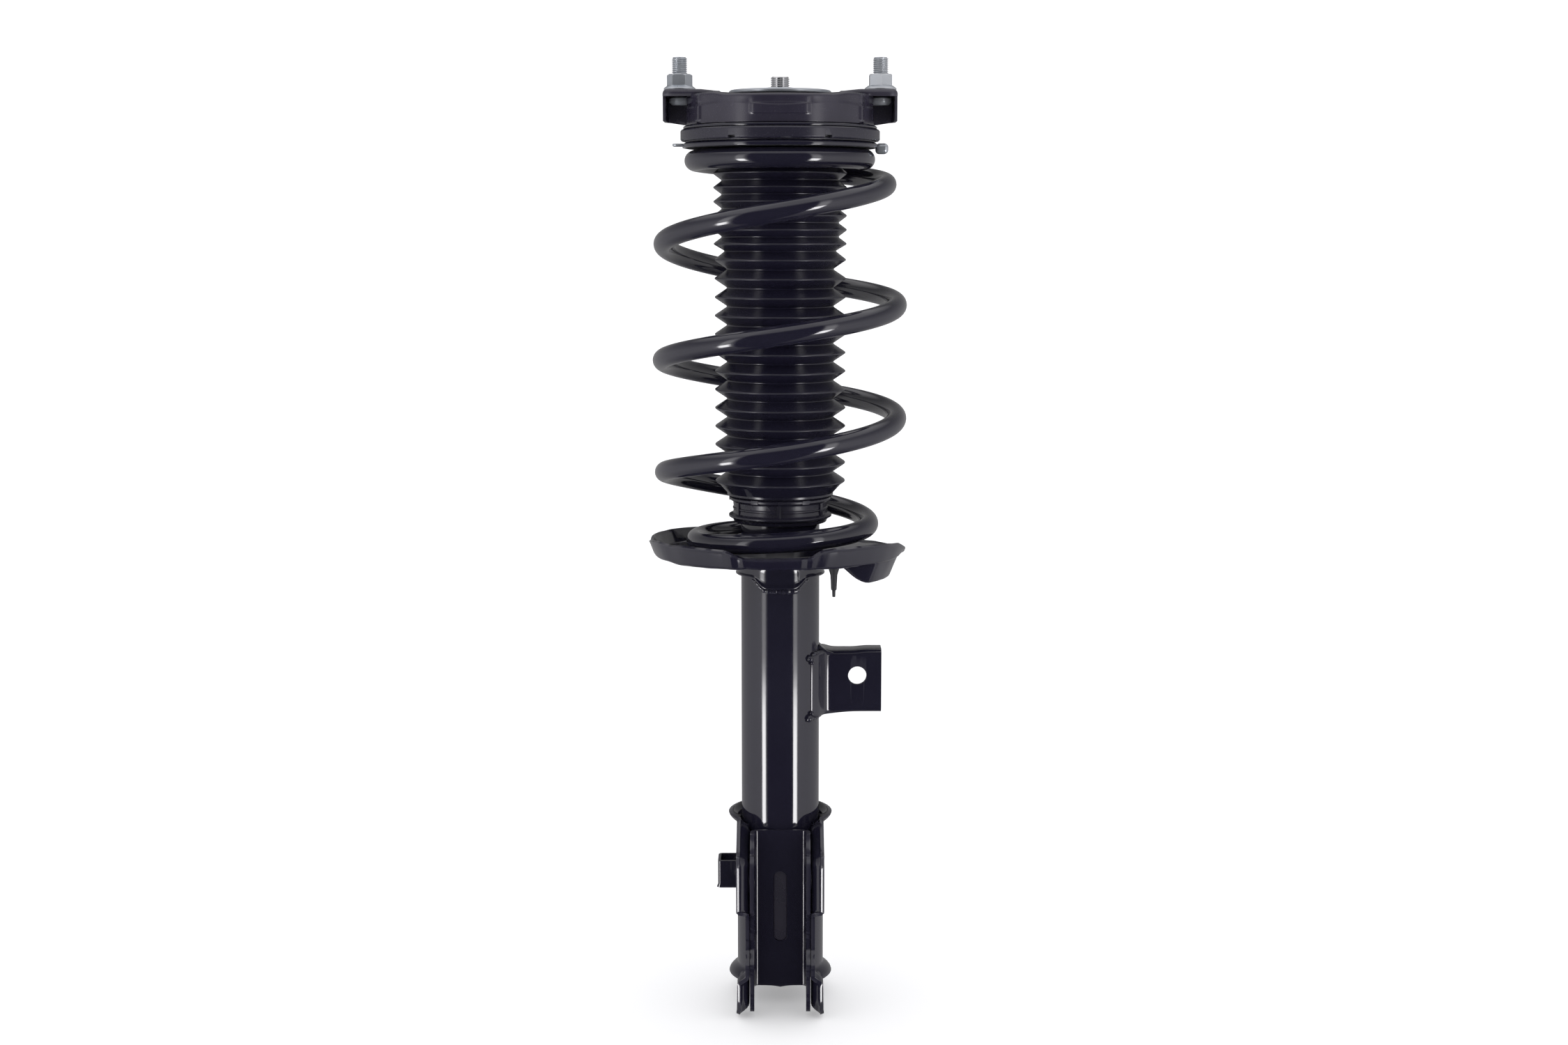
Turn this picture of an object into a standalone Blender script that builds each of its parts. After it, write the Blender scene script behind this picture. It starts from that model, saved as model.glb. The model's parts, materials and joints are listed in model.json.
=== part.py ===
"""Front suspension strut assembly, modelled as the separate pieces it is built from.

Units below are millimetres and degrees; meshes are written in metres.
+Z points up along the strut axis and Z = 0 is the face of the two mounting ears.
The knuckle bracket opens towards -Y and the link bracket points to +X.
"""

import math

import bmesh
import bpy
import numpy as np
from mathutils import Matrix, Vector

MM = 0.001
MERGE = 0.00001          # merge distance of the modifiers, in metres
GAP = 0.3                # clearance left between pieces that touch

# Driving sizes of the upper mount
EAR_TOP = 0.0
EAR_REACH = 74.0
EAR_HALF_WIDTH = 18.0
EAR_THICKNESS = 4.4
CUP_RADIUS = 60.0
CUP_TOP = -3.2
CUP_BOTTOM = -22.2
CUP_SHEET = 2.5
CUP_OPENING = 26.0
STUD_OFFSET = 63.3
STUD_RADIUS = 5.0
STUD_TOP = 20.5
NUT_TOP = 10.0

# Driving sizes of the bearing and the upper spring seat
RING_RADIUS = 63.0
RING_TOP = -24.6
BALL_RADIUS = 2.0
BALL_CIRCLE = 47.0
BALL_HEIGHT = -28.8
BALL_COUNT = 10
SEAT_PLATE_TOP = -32.9

# Driving sizes of the spring, its rubber seats and the boot
WIRE_RADIUS = 6.4
BOOT_TOP = -35.3
BOOT_BOTTOM = -256.5
BOOT_BORE = 32.6
BUMP_TOP = -28.0
BUMP_BOTTOM = -112.0

# Driving sizes of the damper
ROD_RADIUS = 11.0
ROD_THREAD_RADIUS = 5.95
ROD_TOP = 8.2
ROD_SHOULDER = -27.4
ROD_SPIGOT_TOP = -300.0
ROD_BOTTOM = -331.0
TUBE_RADIUS = 25.4
TUBE_BORE = 23.2
TUBE_TOP = -261.0
TUBE_BOTTOM = -577.0
CYLINDER_BORE = 16.3
CYLINDER_RADIUS = 17.8

# Driving sizes of the lower spring seat
PAN_FLOOR = -295.3
PAN_SHEET = 2.0

# Driving sizes of the knuckle bracket
CLEVIS_SHEET = 2.5
CLEVIS_WRAP_RADIUS = TUBE_RADIUS + 1.5 * GAP + CLEVIS_SHEET / 2
EAR_PLATE_OFFSET = 21.05
LIP_REACH = 6.0
INNER_SHEET = 2.7
INNER_FLANGE_OFFSET = 18.05
KNUCKLE_HOLE_RADIUS = 7.0
KNUCKLE_HOLES = ((-41.0, -501.0), (-41.0, -561.0))

# Driving sizes of the two small brackets
LINK_WEB_TOP = -360.3
LINK_WEB_BOTTOM = -399.6
LINK_REACH = 66.2
LINK_HOLE = (50.4, -376.2)
LINK_HOLE_RADIUS = 6.0
HOSE_TOP = -499.0
HOSE_BOTTOM = -517.2

GLOSS_BLACK = (0.010, 0.010, 0.016)
SATIN_BLACK = (0.030, 0.028, 0.036)
RUBBER_BLACK = (0.018, 0.018, 0.022)
ZINC = (0.62, 0.63, 0.64)
BRIGHT_STEEL = (0.70, 0.70, 0.70)
PLASTIC_BLACK = (0.035, 0.034, 0.040)
PLASTIC_CREAM = (0.62, 0.58, 0.48)
SINTER_GREY = (0.30, 0.30, 0.31)


# ---------------------------------------------------------------- scene helpers

def clear_scene():
    """Remove every object, so the script starts from nothing."""
    for item in list(bpy.data.objects):
        bpy.data.objects.remove(item, do_unlink=True)


def new_collection(name):
    """Make a collection in the scene."""
    collection = bpy.data.collections.new(name)
    bpy.context.scene.collection.children.link(collection)
    return collection


def make_material(name, colour, roughness, metallic):
    """Make a plain Principled material."""
    material = bpy.data.materials.new(name)
    material.use_nodes = True
    shader = material.node_tree.nodes["Principled BSDF"]
    shader.inputs["Base Color"].default_value = (*colour, 1.0)
    shader.inputs["Roughness"].default_value = roughness
    shader.inputs["Metallic"].default_value = metallic
    return material


clear_scene()
PARTS = new_collection("strut_assembly")
CUTTERS = new_collection("cutters")


def body_empty(name, height, parent=None):
    """An empty on the strut axis that carries the pieces of one moving body."""
    empty = bpy.data.objects.new(name, None)
    empty.empty_display_size = 20 * MM
    empty.location = (0, 0, height * MM)
    PARTS.objects.link(empty)
    if parent:
        empty.parent = parent
        empty.matrix_parent_inverse = Matrix.Translation(-parent.location)
    return empty


def add_piece(name, mesh, body, finish, smooth_angle=35):
    """Link one piece of the object, parent it to its body and give it its own material."""
    piece = bpy.data.objects.new(name, mesh)
    PARTS.objects.link(piece)
    colour, roughness, metallic = finish
    mesh.materials.append(make_material(name, colour, roughness, metallic))
    if len(mesh.polygons):
        mesh.shade_smooth()
        mesh.set_sharp_from_angle(angle=math.radians(smooth_angle))
    piece.parent = body
    piece.matrix_parent_inverse = Matrix.Translation(-body.location)
    return piece


def add_cutter(name, mesh):
    """Link a hidden helper shape that a Boolean reads."""
    cutter = bpy.data.objects.new(name, mesh)
    CUTTERS.objects.link(cutter)
    cutter.hide_render = True
    cutter.display_type = "WIRE"
    return cutter


def boolean(piece, cutter, operation="DIFFERENCE"):
    """Cut or join a helper shape with the exact solver."""
    modifier = piece.modifiers.new(cutter.name, "BOOLEAN")
    modifier.operation = operation
    modifier.solver = "EXACT"
    modifier.object = cutter


# ---------------------------------------------------------------- shape helpers

def smooth_step(value, start, end):
    """Blend from 0 at start to 1 at end."""
    share = min(max((value - start) / (end - start), 0.0), 1.0)
    return share * share * (3 - 2 * share)


def window(value, centre, half_width, fade):
    """1 inside the window, fading to 0 over the fade width outside it."""
    return 1 - smooth_step(abs(value - centre), half_width, half_width + fade)


def angle_between(angle, centre):
    """Signed difference of two angles in degrees, from -180 to 180."""
    return (angle - centre + 180) % 360 - 180


def smooth_curve(stations, position):
    """Monotone cubic through (position, value) stations."""
    xs = np.array([station[0] for station in stations], dtype=float)
    ys = np.array([station[1] for station in stations], dtype=float)
    steps = np.diff(xs)
    slopes = np.diff(ys) / steps
    tangents = np.zeros(len(xs))
    tangents[0] = slopes[0]
    tangents[-1] = slopes[-1]
    for i in range(1, len(xs) - 1):
        if slopes[i - 1] * slopes[i] > 0:
            before = 2 * steps[i] + steps[i - 1]
            after = steps[i] + 2 * steps[i - 1]
            tangents[i] = (before + after) / (before / slopes[i - 1] + after / slopes[i])
    i = int(min(max(np.searchsorted(xs, position) - 1, 0), len(xs) - 2))
    t = (position - xs[i]) / steps[i]
    rise = (1 + 2 * t) * (1 - t) ** 2 * ys[i] + t * t * (3 - 2 * t) * ys[i + 1]
    lean = t * (1 - t) ** 2 * tangents[i] - t * t * (1 - t) * tangents[i + 1]
    return float(rise + steps[i] * lean)


def arc(centre_r, centre_z, radius, start, end, count):
    """Points of an arc in a turned profile; angles in degrees from +r, counted towards +z."""
    angles = np.linspace(math.radians(start), math.radians(end), count)
    return [(centre_r + radius * math.cos(a), centre_z + radius * math.sin(a)) for a in angles]


def profile_mesh(name, profile, closed):
    """Edges of a profile in the XZ plane, given as (radius, height) points."""
    mesh = bpy.data.meshes.new(name)
    points = [(r * MM, 0, z * MM) for r, z in profile]
    edges = [(i, i + 1) for i in range(len(points) - 1)]
    if closed:
        edges.append((len(points) - 1, 0))
    mesh.from_pydata(points, edges, [])
    return mesh


def add_screw(target, steps):
    """Turn a profile once round the strut axis."""
    screw = target.modifiers.new("turn", "SCREW")
    screw.axis = "Z"
    screw.angle = 2 * math.pi
    screw.steps = steps
    screw.render_steps = steps
    screw.use_merge_vertices = True
    screw.merge_threshold = MERGE
    screw.use_smooth_shade = True


def turned(name, profile, body, finish, steps=20, closed=True):
    """A turned piece; the profile runs top to bottom on its outer side."""
    piece = add_piece(name, profile_mesh(name, profile, closed), body, finish)
    add_screw(piece, steps)
    return piece


def cylinder_mesh(name, radius, depth, centre, axis="Z", segments=24, top_radius=None):
    """A capped cylinder or cone along one axis."""
    mesh = bpy.data.meshes.new(name)
    bm = bmesh.new()
    bmesh.ops.create_cone(bm, cap_ends=True, segments=segments, radius1=radius * MM,
                          radius2=(radius if top_radius is None else top_radius) * MM, depth=depth * MM)
    turn = {"X": Matrix.Rotation(math.pi / 2, 3, "Y"), "Y": Matrix.Rotation(math.pi / 2, 3, "X"),
            "Z": Matrix.Identity(3)}[axis]
    bmesh.ops.rotate(bm, verts=bm.verts, cent=(0, 0, 0), matrix=turn)
    bmesh.ops.translate(bm, verts=bm.verts, vec=Vector(centre) * MM)
    bm.to_mesh(mesh)
    bm.free()
    return mesh


def block_mesh(name, low, high, bevel=0.0, upright_only=False):
    """A box between two corners, with its edges rounded if asked."""
    mesh = bpy.data.meshes.new(name)
    bm = bmesh.new()
    bmesh.ops.create_cube(bm, size=1.0)
    size = Vector(high) - Vector(low)
    bmesh.ops.scale(bm, verts=bm.verts, vec=size * MM)
    bmesh.ops.translate(bm, verts=bm.verts, vec=(Vector(high) + Vector(low)) / 2 * MM)
    if bevel:
        edges = list(bm.edges)
        if upright_only:
            edges = [e for e in edges if abs((e.verts[0].co - e.verts[1].co).normalized().z) > 0.9]
        bmesh.ops.bevel(bm, geom=edges, offset=bevel * MM, segments=3, profile=0.5, affect="EDGES")
    bm.to_mesh(mesh)
    bm.free()
    return mesh


def surface_mesh(name, columns, rows, place, wrap=False):
    """A sheet: a grid whose points are set by place(u, v), joined up round u if it wraps."""
    mesh = bpy.data.meshes.new(name)
    bm = bmesh.new()
    bmesh.ops.create_grid(bm, x_segments=columns, y_segments=rows, size=1.0)
    for vert in bm.verts:
        u = round((vert.co.x + 1) / 2 * columns)
        v = round((vert.co.y + 1) / 2 * rows)
        vert.co = Vector(place(u, v)) * MM
    if wrap:
        bmesh.ops.remove_doubles(bm, verts=bm.verts, dist=MERGE)
    bmesh.ops.recalc_face_normals(bm, faces=bm.faces)
    bm.to_mesh(mesh)
    bm.free()
    return mesh


def add_solidify(piece, thickness):
    """Give a sheet its thickness, half to each side."""
    solidify = piece.modifiers.new("sheet", "SOLIDIFY")
    solidify.thickness = thickness * MM
    solidify.offset = 0.0
    solidify.use_even_offset = True


def add_mirror(piece):
    """Complete a half sheet that is open at X = 0."""
    mirror = piece.modifiers.new("halves", "MIRROR")
    mirror.use_clip = True
    mirror.merge_threshold = MERGE


def hex_nut_mesh(name, across_flats, bore, low, high, centre_x=0.0, flange=None):
    """A hexagon nut with chamfered corners, its bore, and a flange under it if asked."""
    profile_steps = 18
    mesh = bpy.data.meshes.new(name)
    bm = bmesh.new()
    corner = across_flats / 2 / math.cos(math.pi / 6)
    rings = []
    chamfer = corner * 0.12
    levels = [(low, 0), (high - chamfer * 0.6, 0), (high, 1)]
    if flange:
        flange_radius, flange_height = flange
        levels = [(low, 3), (low + flange_height * 0.55, 3), (low + flange_height, 0)] + levels[1:]
    for z, kind in levels:
        ring = []
        for i in range(profile_steps):
            a = 2 * math.pi * i / profile_steps
            sector = (a + math.pi / 6) % (math.pi / 3) - math.pi / 6
            reach = across_flats / 2 / math.cos(sector)
            if kind == 1:
                reach = min(reach, across_flats / 2)
            if kind == 3:
                reach = flange_radius
            ring.append(bm.verts.new((reach * math.cos(a) * MM, reach * math.sin(a) * MM, z * MM)))
        rings.append(ring)
    bores = []
    for z in (high, low):
        bores.append([bm.verts.new((bore * math.cos(2 * math.pi * i / profile_steps) * MM,
                                    bore * math.sin(2 * math.pi * i / profile_steps) * MM, z * MM))
                      for i in range(profile_steps)])
    loop = rings + bores + [rings[0]]
    for lower, upper in zip(loop, loop[1:]):
        for i in range(profile_steps):
            j = (i + 1) % profile_steps
            bm.faces.new((lower[i], lower[j], upper[j], upper[i]))
    bmesh.ops.recalc_face_normals(bm, faces=bm.faces)
    bmesh.ops.translate(bm, verts=bm.verts, vec=(centre_x * MM, 0, 0))
    bm.to_mesh(mesh)
    bm.free()
    return mesh


GLOSS_PAINT = (GLOSS_BLACK, 0.12, 0.0)
SATIN_PAINT = (SATIN_BLACK, 0.38, 0.0)
BOOT_RUBBER = (RUBBER_BLACK, 0.45, 0.0)
SOFT_RUBBER = (RUBBER_BLACK, 0.70, 0.0)
ZINC_PLATE = (ZINC, 0.32, 1.0)
CHROMED_ROD = (BRIGHT_STEEL, 0.10, 1.0)
BARE_STEEL = (BRIGHT_STEEL, 0.28, 1.0)
SINTERED = (SINTER_GREY, 0.55, 1.0)
BLACK_PLASTIC = (PLASTIC_BLACK, 0.42, 0.0)
CREAM_PLASTIC = (PLASTIC_CREAM, 0.50, 0.0)


# ---------------------------------------------------------------- upper mount

def build_mount_upper_plate(body):
    """Pressed cup with two raised ears; each ear is open to the front and below."""
    bend = 5.5
    inner_bend = bend - CUP_SHEET
    profile = [(CUP_OPENING, CUP_TOP)]
    profile += arc(CUP_RADIUS - bend, CUP_TOP - bend, bend, 90, 0, 4)
    profile += [(CUP_RADIUS, CUP_BOTTOM), (CUP_RADIUS - CUP_SHEET, CUP_BOTTOM)]
    profile += arc(CUP_RADIUS - bend, CUP_TOP - bend, inner_bend, 0, 90, 3)
    profile += [(CUP_OPENING, CUP_TOP - CUP_SHEET)]
    plate = turned("mount_upper_plate", profile, body, SATIN_PAINT, steps=32)
    for side, label in ((-1, "left"), (1, "right")):
        def span(near, far):
            return sorted((side * near, side * far))
        x0, x1 = span(38.0, EAR_REACH)
        pad = block_mesh(f"ear_pad_{label}", (x0, -EAR_HALF_WIDTH, EAR_TOP - EAR_THICKNESS),
                         (x1, EAR_HALF_WIDTH, EAR_TOP), 5.0, upright_only=True)
        x0, x1 = span(71.7, 73.4)
        outer_wall = block_mesh(f"ear_wall_{label}", (x0, -13.0, -21.6), (x1, 13.0, EAR_TOP - 2.0))
        x0, x1 = span(57.9, 72.4)
        back_wall = block_mesh(f"ear_back_{label}", (x0, 11.0, -21.6), (x1, 13.4, EAR_TOP - 2.0))
        for mesh in (pad, outer_wall, back_wall):
            boolean(plate, add_cutter(mesh.name, mesh), "UNION")
        hole = cylinder_mesh(f"stud_hole_{label}", STUD_RADIUS + GAP, 14,
                             (side * STUD_OFFSET, 0, EAR_TOP - 2))
        head_room = cylinder_mesh(f"stud_head_room_{label}", 7.2, 4.4, (side * STUD_OFFSET, 0, -6.6),
                                  segments=16)
        boolean(plate, add_cutter(hole.name, hole))
        boolean(plate, add_cutter(head_room.name, head_room))


def build_mount_inner_pieces(body):
    """Lower closing plate, bonded rubber and the sleeve that the rod clamps."""
    closing_plate = [(36.0, -20.2), (41.0, -22.5), (61.2, -22.5), (61.2, -24.3), (40.3, -24.3),
                     (35.3, -22.0), (28.5, -22.0), (28.5, -20.2)]
    turned("mount_lower_plate", closing_plate, body, GLOSS_PAINT, steps=28)
    rubber = [(22.5, -6.0), (53.8, -6.0), (57.1, -9.3), (57.1, -22.1), (41.6, -22.1), (36.4, -19.8),
              (10.4, -19.8), (10.4, -9.8), (18.2, -9.8)]
    turned("mount_rubber", rubber, body, SOFT_RUBBER, steps=20)
    sleeve = [(10.0, -9.7), (10.0, -24.8), (22.0, -24.8), (22.0, -27.1), (6.35, -27.1), (6.35, -9.7)]
    turned("mount_inner_sleeve", sleeve, body, BARE_STEEL)


def build_rebound_washer_and_nut(body):
    """Dished zinc washer in the middle of the mount, with the rod nut in its well."""
    washer = [(6.4, -6.9), (15.0, -6.9), (21.0, -0.2), (31.4, -0.2), (32.3, -0.9), (32.3, -2.1),
              (31.7, -2.7), (23.2, -2.7), (16.8, -9.4), (6.4, -9.4)]
    washer = washer[1:] + washer[:1]
    turned("rebound_washer", washer, body, ZINC_PLATE, steps=28)
    add_piece("rod_nut", hex_nut_mesh("rod_nut", 17.0, ROD_THREAD_RADIUS + GAP, -6.6, 1.6), body, ZINC_PLATE)


def build_stud_and_nut(body, side, label):
    """Pressed-in M10 stud with its flanged nut."""
    x = side * STUD_OFFSET
    profile = [(0, STUD_TOP), (4.3, STUD_TOP), (STUD_RADIUS, STUD_TOP - 0.9), (STUD_RADIUS, -4.7),
               (6.9, -4.7), (6.9, -6.4), (5.2, -7.8), (0, -8.1)]
    stud = turned(f"stud_{label}", profile, body, ZINC_PLATE, steps=12, closed=False)
    stud.matrix_parent_inverse = Matrix.Translation((x * MM, 0, 0)) @ stud.matrix_parent_inverse
    nut = hex_nut_mesh(f"nut_{label}", 14.0, STUD_RADIUS + GAP, 0.3, NUT_TOP, x, (10.15, 2.4))
    add_piece(nut.name, nut, body, ZINC_PLATE)


# ---------------------------------------------------------------- bearing and upper seat

def build_bearing_upper_cap(body):
    """Plastic upper race ring with its outer and inner skirts."""
    profile = [(36.0, RING_TOP), (62.3, RING_TOP), (RING_RADIUS, RING_TOP - 0.7), (RING_RADIUS, -31.1),
               (62.4, -31.8), (60.5, -31.8), (60.5, -26.5), (38.0, -26.5), (38.0, -30.4), (36.0, -30.4)]
    cap = turned("bearing_upper_cap", profile, body, BLACK_PLASTIC, steps=36)
    for i in range(4):
        a = math.radians(-118 + 56 * (i % 2) + 180 * (i // 2))
        centre = (RING_RADIUS * math.cos(a), RING_RADIUS * math.sin(a), -31.8)
        notch = cylinder_mesh(f"ring_notch_{i}", 1.6, 3.0, centre, segments=6)
        boolean(cap, add_cutter(notch.name, notch))


def build_bearing_cage(body):
    """Thin cage ring with its row of balls."""
    ring = [(43.5, -28.2), (50.5, -28.2), (50.5, -29.4), (43.5, -29.4)]
    cage = turned("ball_cage", ring, body, CREAM_PLASTIC, steps=30)
    for i in range(BALL_COUNT):
        a = 2 * math.pi * i / BALL_COUNT
        centre = (BALL_CIRCLE * math.cos(a), BALL_CIRCLE * math.sin(a), BALL_HEIGHT)
        pocket = cylinder_mesh(f"ball_pocket_{i}", BALL_RADIUS + GAP, 4.0, centre, segments=8)
        boolean(cage, add_cutter(pocket.name, pocket))
        mesh = bpy.data.meshes.new(f"bearing_ball_{i + 1}")
        bm = bmesh.new()
        bmesh.ops.create_uvsphere(bm, u_segments=8, v_segments=5, radius=BALL_RADIUS * MM)
        bmesh.ops.translate(bm, verts=bm.verts, vec=Vector(centre) * MM)
        bm.to_mesh(mesh)
        bm.free()
        add_piece(mesh.name, mesh, body, BARE_STEEL)


def build_upper_seat(body):
    """Lower bearing race, its seal, the steel spring seat with two tabs, and the rubber under it."""
    race = [(38.5, -31.1), (59.9, -31.1), (59.9, -32.6), (38.5, -32.6)]
    turned("bearing_lower_cap", race, body, BLACK_PLASTIC, steps=36)
    seal = [(57.4, -27.0), (59.8, -27.0), (59.4, -30.8), (55.5, -30.8)]
    turned("bearing_seal", seal, body, SOFT_RUBBER, steps=36)
    plate = [(34.0, SEAT_PLATE_TOP), (60.3, SEAT_PLATE_TOP), (61.8, -34.2), (61.8, -36.0), (60.1, -36.0),
             (60.1, -34.9), (34.0, -34.9)]
    seat = turned("upper_spring_seat", plate, body, GLOSS_PAINT, steps=36)
    left_tab = block_mesh("left_tab", (-68.0, -7.0, -34.9), (-59.8, 7.0, -33.4), 0.5)
    boolean(seat, add_cutter("left_tab", left_tab), "UNION")
    right_tab = block_mesh("right_tab", (60.4, -6.0, -38.6), (68.4, 6.0, -33.5), 1.8)
    boolean(seat, add_cutter("right_tab", right_tab), "UNION")
    pad = [(43.8, -35.2), (59.7, -35.2), (59.7, -36.3), (46.7, -36.3), (46.7, -45.0), (43.8, -45.0)]
    turned("upper_insulator", pad, body, SOFT_RUBBER, steps=28)


# ---------------------------------------------------------------- spring and boot

# Stations of the spring as (turn angle, value); angle 0 is where the bottom coil passes +X.
COIL_HEIGHTS = ((-290, -286.9), (-235, -286.7), (-180, -286.0), (-90, -280.2), (0, -275.6), (90, -265.4),
                (180, -242.4), (270, -222.6), (360, -206.3), (450, -191.9), (540, -170.4), (630, -150.4),
                (720, -133.9), (810, -119.2), (900, -96.8), (990, -75.9), (1080, -57.8), (1170, -47.6),
                (1260, -43.9), (1350, -43.1), (1452, -43.0))
COIL_RADII = ((-290, 54.4), (-180, 54.6), (-90, 54.8), (0, 57.2), (90, 66.5), (180, 74.5), (360, 74.7),
              (540, 75.3), (720, 74.5), (900, 74.2), (1080, 67.1), (1170, 58.4), (1260, 54.2), (1452, 53.7))
COIL_START = COIL_HEIGHTS[0][0]
COIL_END = COIL_HEIGHTS[-1][0]
COIL_STEP = 18.0


def coil_point(turn):
    """Centre of the spring wire at a turn angle in degrees."""
    radius = smooth_curve(COIL_RADII, turn)
    a = math.radians(turn)
    return Vector((radius * math.cos(a), radius * math.sin(a), smooth_curve(COIL_HEIGHTS, turn)))


def build_coil_spring(body):
    """Round wire wound right-handed, with both end coils drawn in."""
    count = int((COIL_END - COIL_START) / COIL_STEP) + 1
    curve = bpy.data.curves.new("coil_spring", "CURVE")
    curve.dimensions = "3D"
    curve.bevel_depth = WIRE_RADIUS * MM
    curve.bevel_resolution = 2
    curve.use_fill_caps = True
    spline = curve.splines.new("POLY")
    spline.points.add(count - 1)
    for i, turn in enumerate(np.linspace(COIL_START, COIL_END, count)):
        spline.points[i].co = (*(coil_point(turn) * MM), 1.0)
    spring = bpy.data.objects.new("coil_spring", curve)
    PARTS.objects.link(spring)
    colour, roughness, metallic = GLOSS_PAINT
    curve.materials.append(make_material("coil_spring", colour, roughness, metallic))
    spring.parent = body
    spring.matrix_parent_inverse = Matrix.Translation(-body.location)


def boot_profile():
    """Outer line of the boot from its top collar down over the shallow and the deep folds."""
    line = [(43.2, BOOT_TOP), (43.2, -46.5), (38.0, -47.6)]
    for i in range(6):
        ridge = -51.7 - 8.84 * i
        line += [(42.6, ridge), (37.3, ridge - 4.4)]
    line[-1] = (35.5, -100.4)
    for i in range(13):
        ridge = -106.0 - 11.78 * i
        line += [(42.0, ridge), (33.9, ridge - 5.9)]
    line[-1] = (34.2, -252.8)
    return line + [(34.2, BOOT_BOTTOM), (BOOT_BORE, BOOT_BOTTOM), (BOOT_BORE, BOOT_TOP)]


def build_boot_and_bump_stop(seat_body, rod_body):
    """Folded dust boot, and the bump stop that it hides."""
    turned("dust_boot", boot_profile(), seat_body, BOOT_RUBBER, steps=16)
    bore = ROD_RADIUS + 0.7
    stop = [(bore, BUMP_TOP), (26.0, BUMP_TOP), (26.0, -52.0), (21.5, -56.0), (26.0, -60.0), (26.0, -76.0),
            (21.0, -80.0), (25.0, -84.0), (25.0, -94.0), (17.0, BUMP_BOTTOM), (bore, BUMP_BOTTOM)]
    turned("bump_stop", stop, rod_body, CREAM_PLASTIC, steps=18)


# ---------------------------------------------------------------- damper

def build_rod_and_piston(body):
    """Rod with its thread and spigot, and everything fixed to its lower end."""
    rod = [(0, ROD_TOP), (4.9, ROD_TOP), (ROD_THREAD_RADIUS, ROD_TOP - 1.1),
           (ROD_THREAD_RADIUS, ROD_SHOULDER), (ROD_RADIUS, ROD_SHOULDER), (ROD_RADIUS, ROD_SPIGOT_TOP),
           (6.0, ROD_SPIGOT_TOP), (6.0, ROD_BOTTOM), (0, ROD_BOTTOM)]
    turned("piston_rod", rod, body, CHROMED_ROD, closed=False)
    stop = [(ROD_RADIUS + GAP, -284.9), (14.6, -284.9), (15.4, -285.8), (15.4, -293.0),
            (ROD_RADIUS + GAP, -293.0)]
    turned("rebound_stop", stop, body, BLACK_PLASTIC)
    piston = [(6.3, -300.3), (15.7, -300.3), (15.7, -305.0), (14.0, -305.0), (14.0, -311.0),
              (15.7, -311.0), (15.7, -316.0), (6.3, -316.0)]
    turned("piston", piston, body, SINTERED)
    ring = [(14.3, -305.3), (15.8, -305.3), (15.8, -310.7), (14.3, -310.7)]
    turned("piston_ring", ring, body, BLACK_PLASTIC)
    shim = [(6.3, -316.3), (13.0, -316.3), (13.0, -317.2), (6.3, -317.2)]
    turned("valve_shim", shim, body, BARE_STEEL, steps=24)
    nut = hex_nut_mesh("piston_nut", 19.0, 6.3, -327.0, -317.5)
    add_piece("piston_nut", nut, body, ZINC_PLATE)


def build_tube_and_guide(body):
    """Outer tube with its base, the pressure tube inside, and the pieces that close the top."""
    tube = [(TUBE_BORE, TUBE_TOP), (TUBE_RADIUS, TUBE_TOP), (TUBE_RADIUS, TUBE_BOTTOM),
            (TUBE_BORE, TUBE_BOTTOM)]
    turned("outer_tube", tube, body, GLOSS_PAINT, steps=32)
    fit = TUBE_BORE - GAP
    base = [(0, -570.5), (15.0, -570.0), (fit, -568.0), (fit, -576.6), (15.0, -578.4), (0, -579.4)]
    turned("tube_base", base, body, GLOSS_PAINT, steps=32, closed=False)
    cylinder = [(CYLINDER_BORE, -284.3), (CYLINDER_RADIUS, -284.3), (CYLINDER_RADIUS, -556.0),
                (CYLINDER_BORE, -556.0)]
    turned("inner_cylinder", cylinder, body, BARE_STEEL)
    valve = [(0, -556.3), (CYLINDER_RADIUS, -556.3), (CYLINDER_RADIUS, -561.0), (14.0, -563.0),
             (14.0, -567.0), (0, -567.0)]
    turned("base_valve", valve, body, SINTERED, closed=False)
    guide = [(12.9, -266.0), (fit, -266.0), (fit, -276.0), (18.5, -278.0), (18.5, -284.0), (12.9, -284.0)]
    turned("rod_guide", guide, body, SINTERED)
    bush = [(ROD_RADIUS + GAP, -266.6), (12.6, -266.6), (12.6, -283.4), (ROD_RADIUS + GAP, -283.4)]
    turned("rod_guide_bush", bush, body, BARE_STEEL)
    seal = [(ROD_RADIUS + 0.4, -261.8), (fit, -261.8), (fit, -265.7), (ROD_RADIUS + 0.4, -265.7)]
    turned("rod_seal", seal, body, SOFT_RUBBER)


def build_strut_cap(body):
    """Plastic cap over the top of the tube, which the boot and the bump stop meet."""
    fit = TUBE_RADIUS + 0.35
    bore = ROD_RADIUS + 1.0
    profile = [(bore, -256.9), (31.5, -256.9), (32.7, -257.8), (32.7, -259.2), (30.5, -260.7),
               (30.5, -268.1), (33.2, -269.1), (33.2, -270.4), (30.4, -272.0), (29.8, -274.0),
               (fit, -274.0), (fit, -260.0), (bore, -260.0)]
    turned("strut_cap", profile, body, BLACK_PLASTIC, steps=24)


# ---------------------------------------------------------------- lower spring seat

# Rim height of the pan round the strut, as (angle from +X, height).
PAN_RIM = ((0, -292.5), (20, -294.8), (48, -295.0), (90, -291.5), (140, -285.6), (165, -284.6),
           (180, -286.0), (195, -284.6), (221, -283.4), (241, -284.0), (254, -288.6), (279, -288.8),
           (290, -284.4), (299, -282.8), (317, -282.6), (340, -284.8), (360, -292.5))
PAN_COLUMNS = 40
COLLAR_COLUMNS = 24
POCKET_ANGLE = 330.0
TAIL_POINT = (33.8, -46.0)


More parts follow.
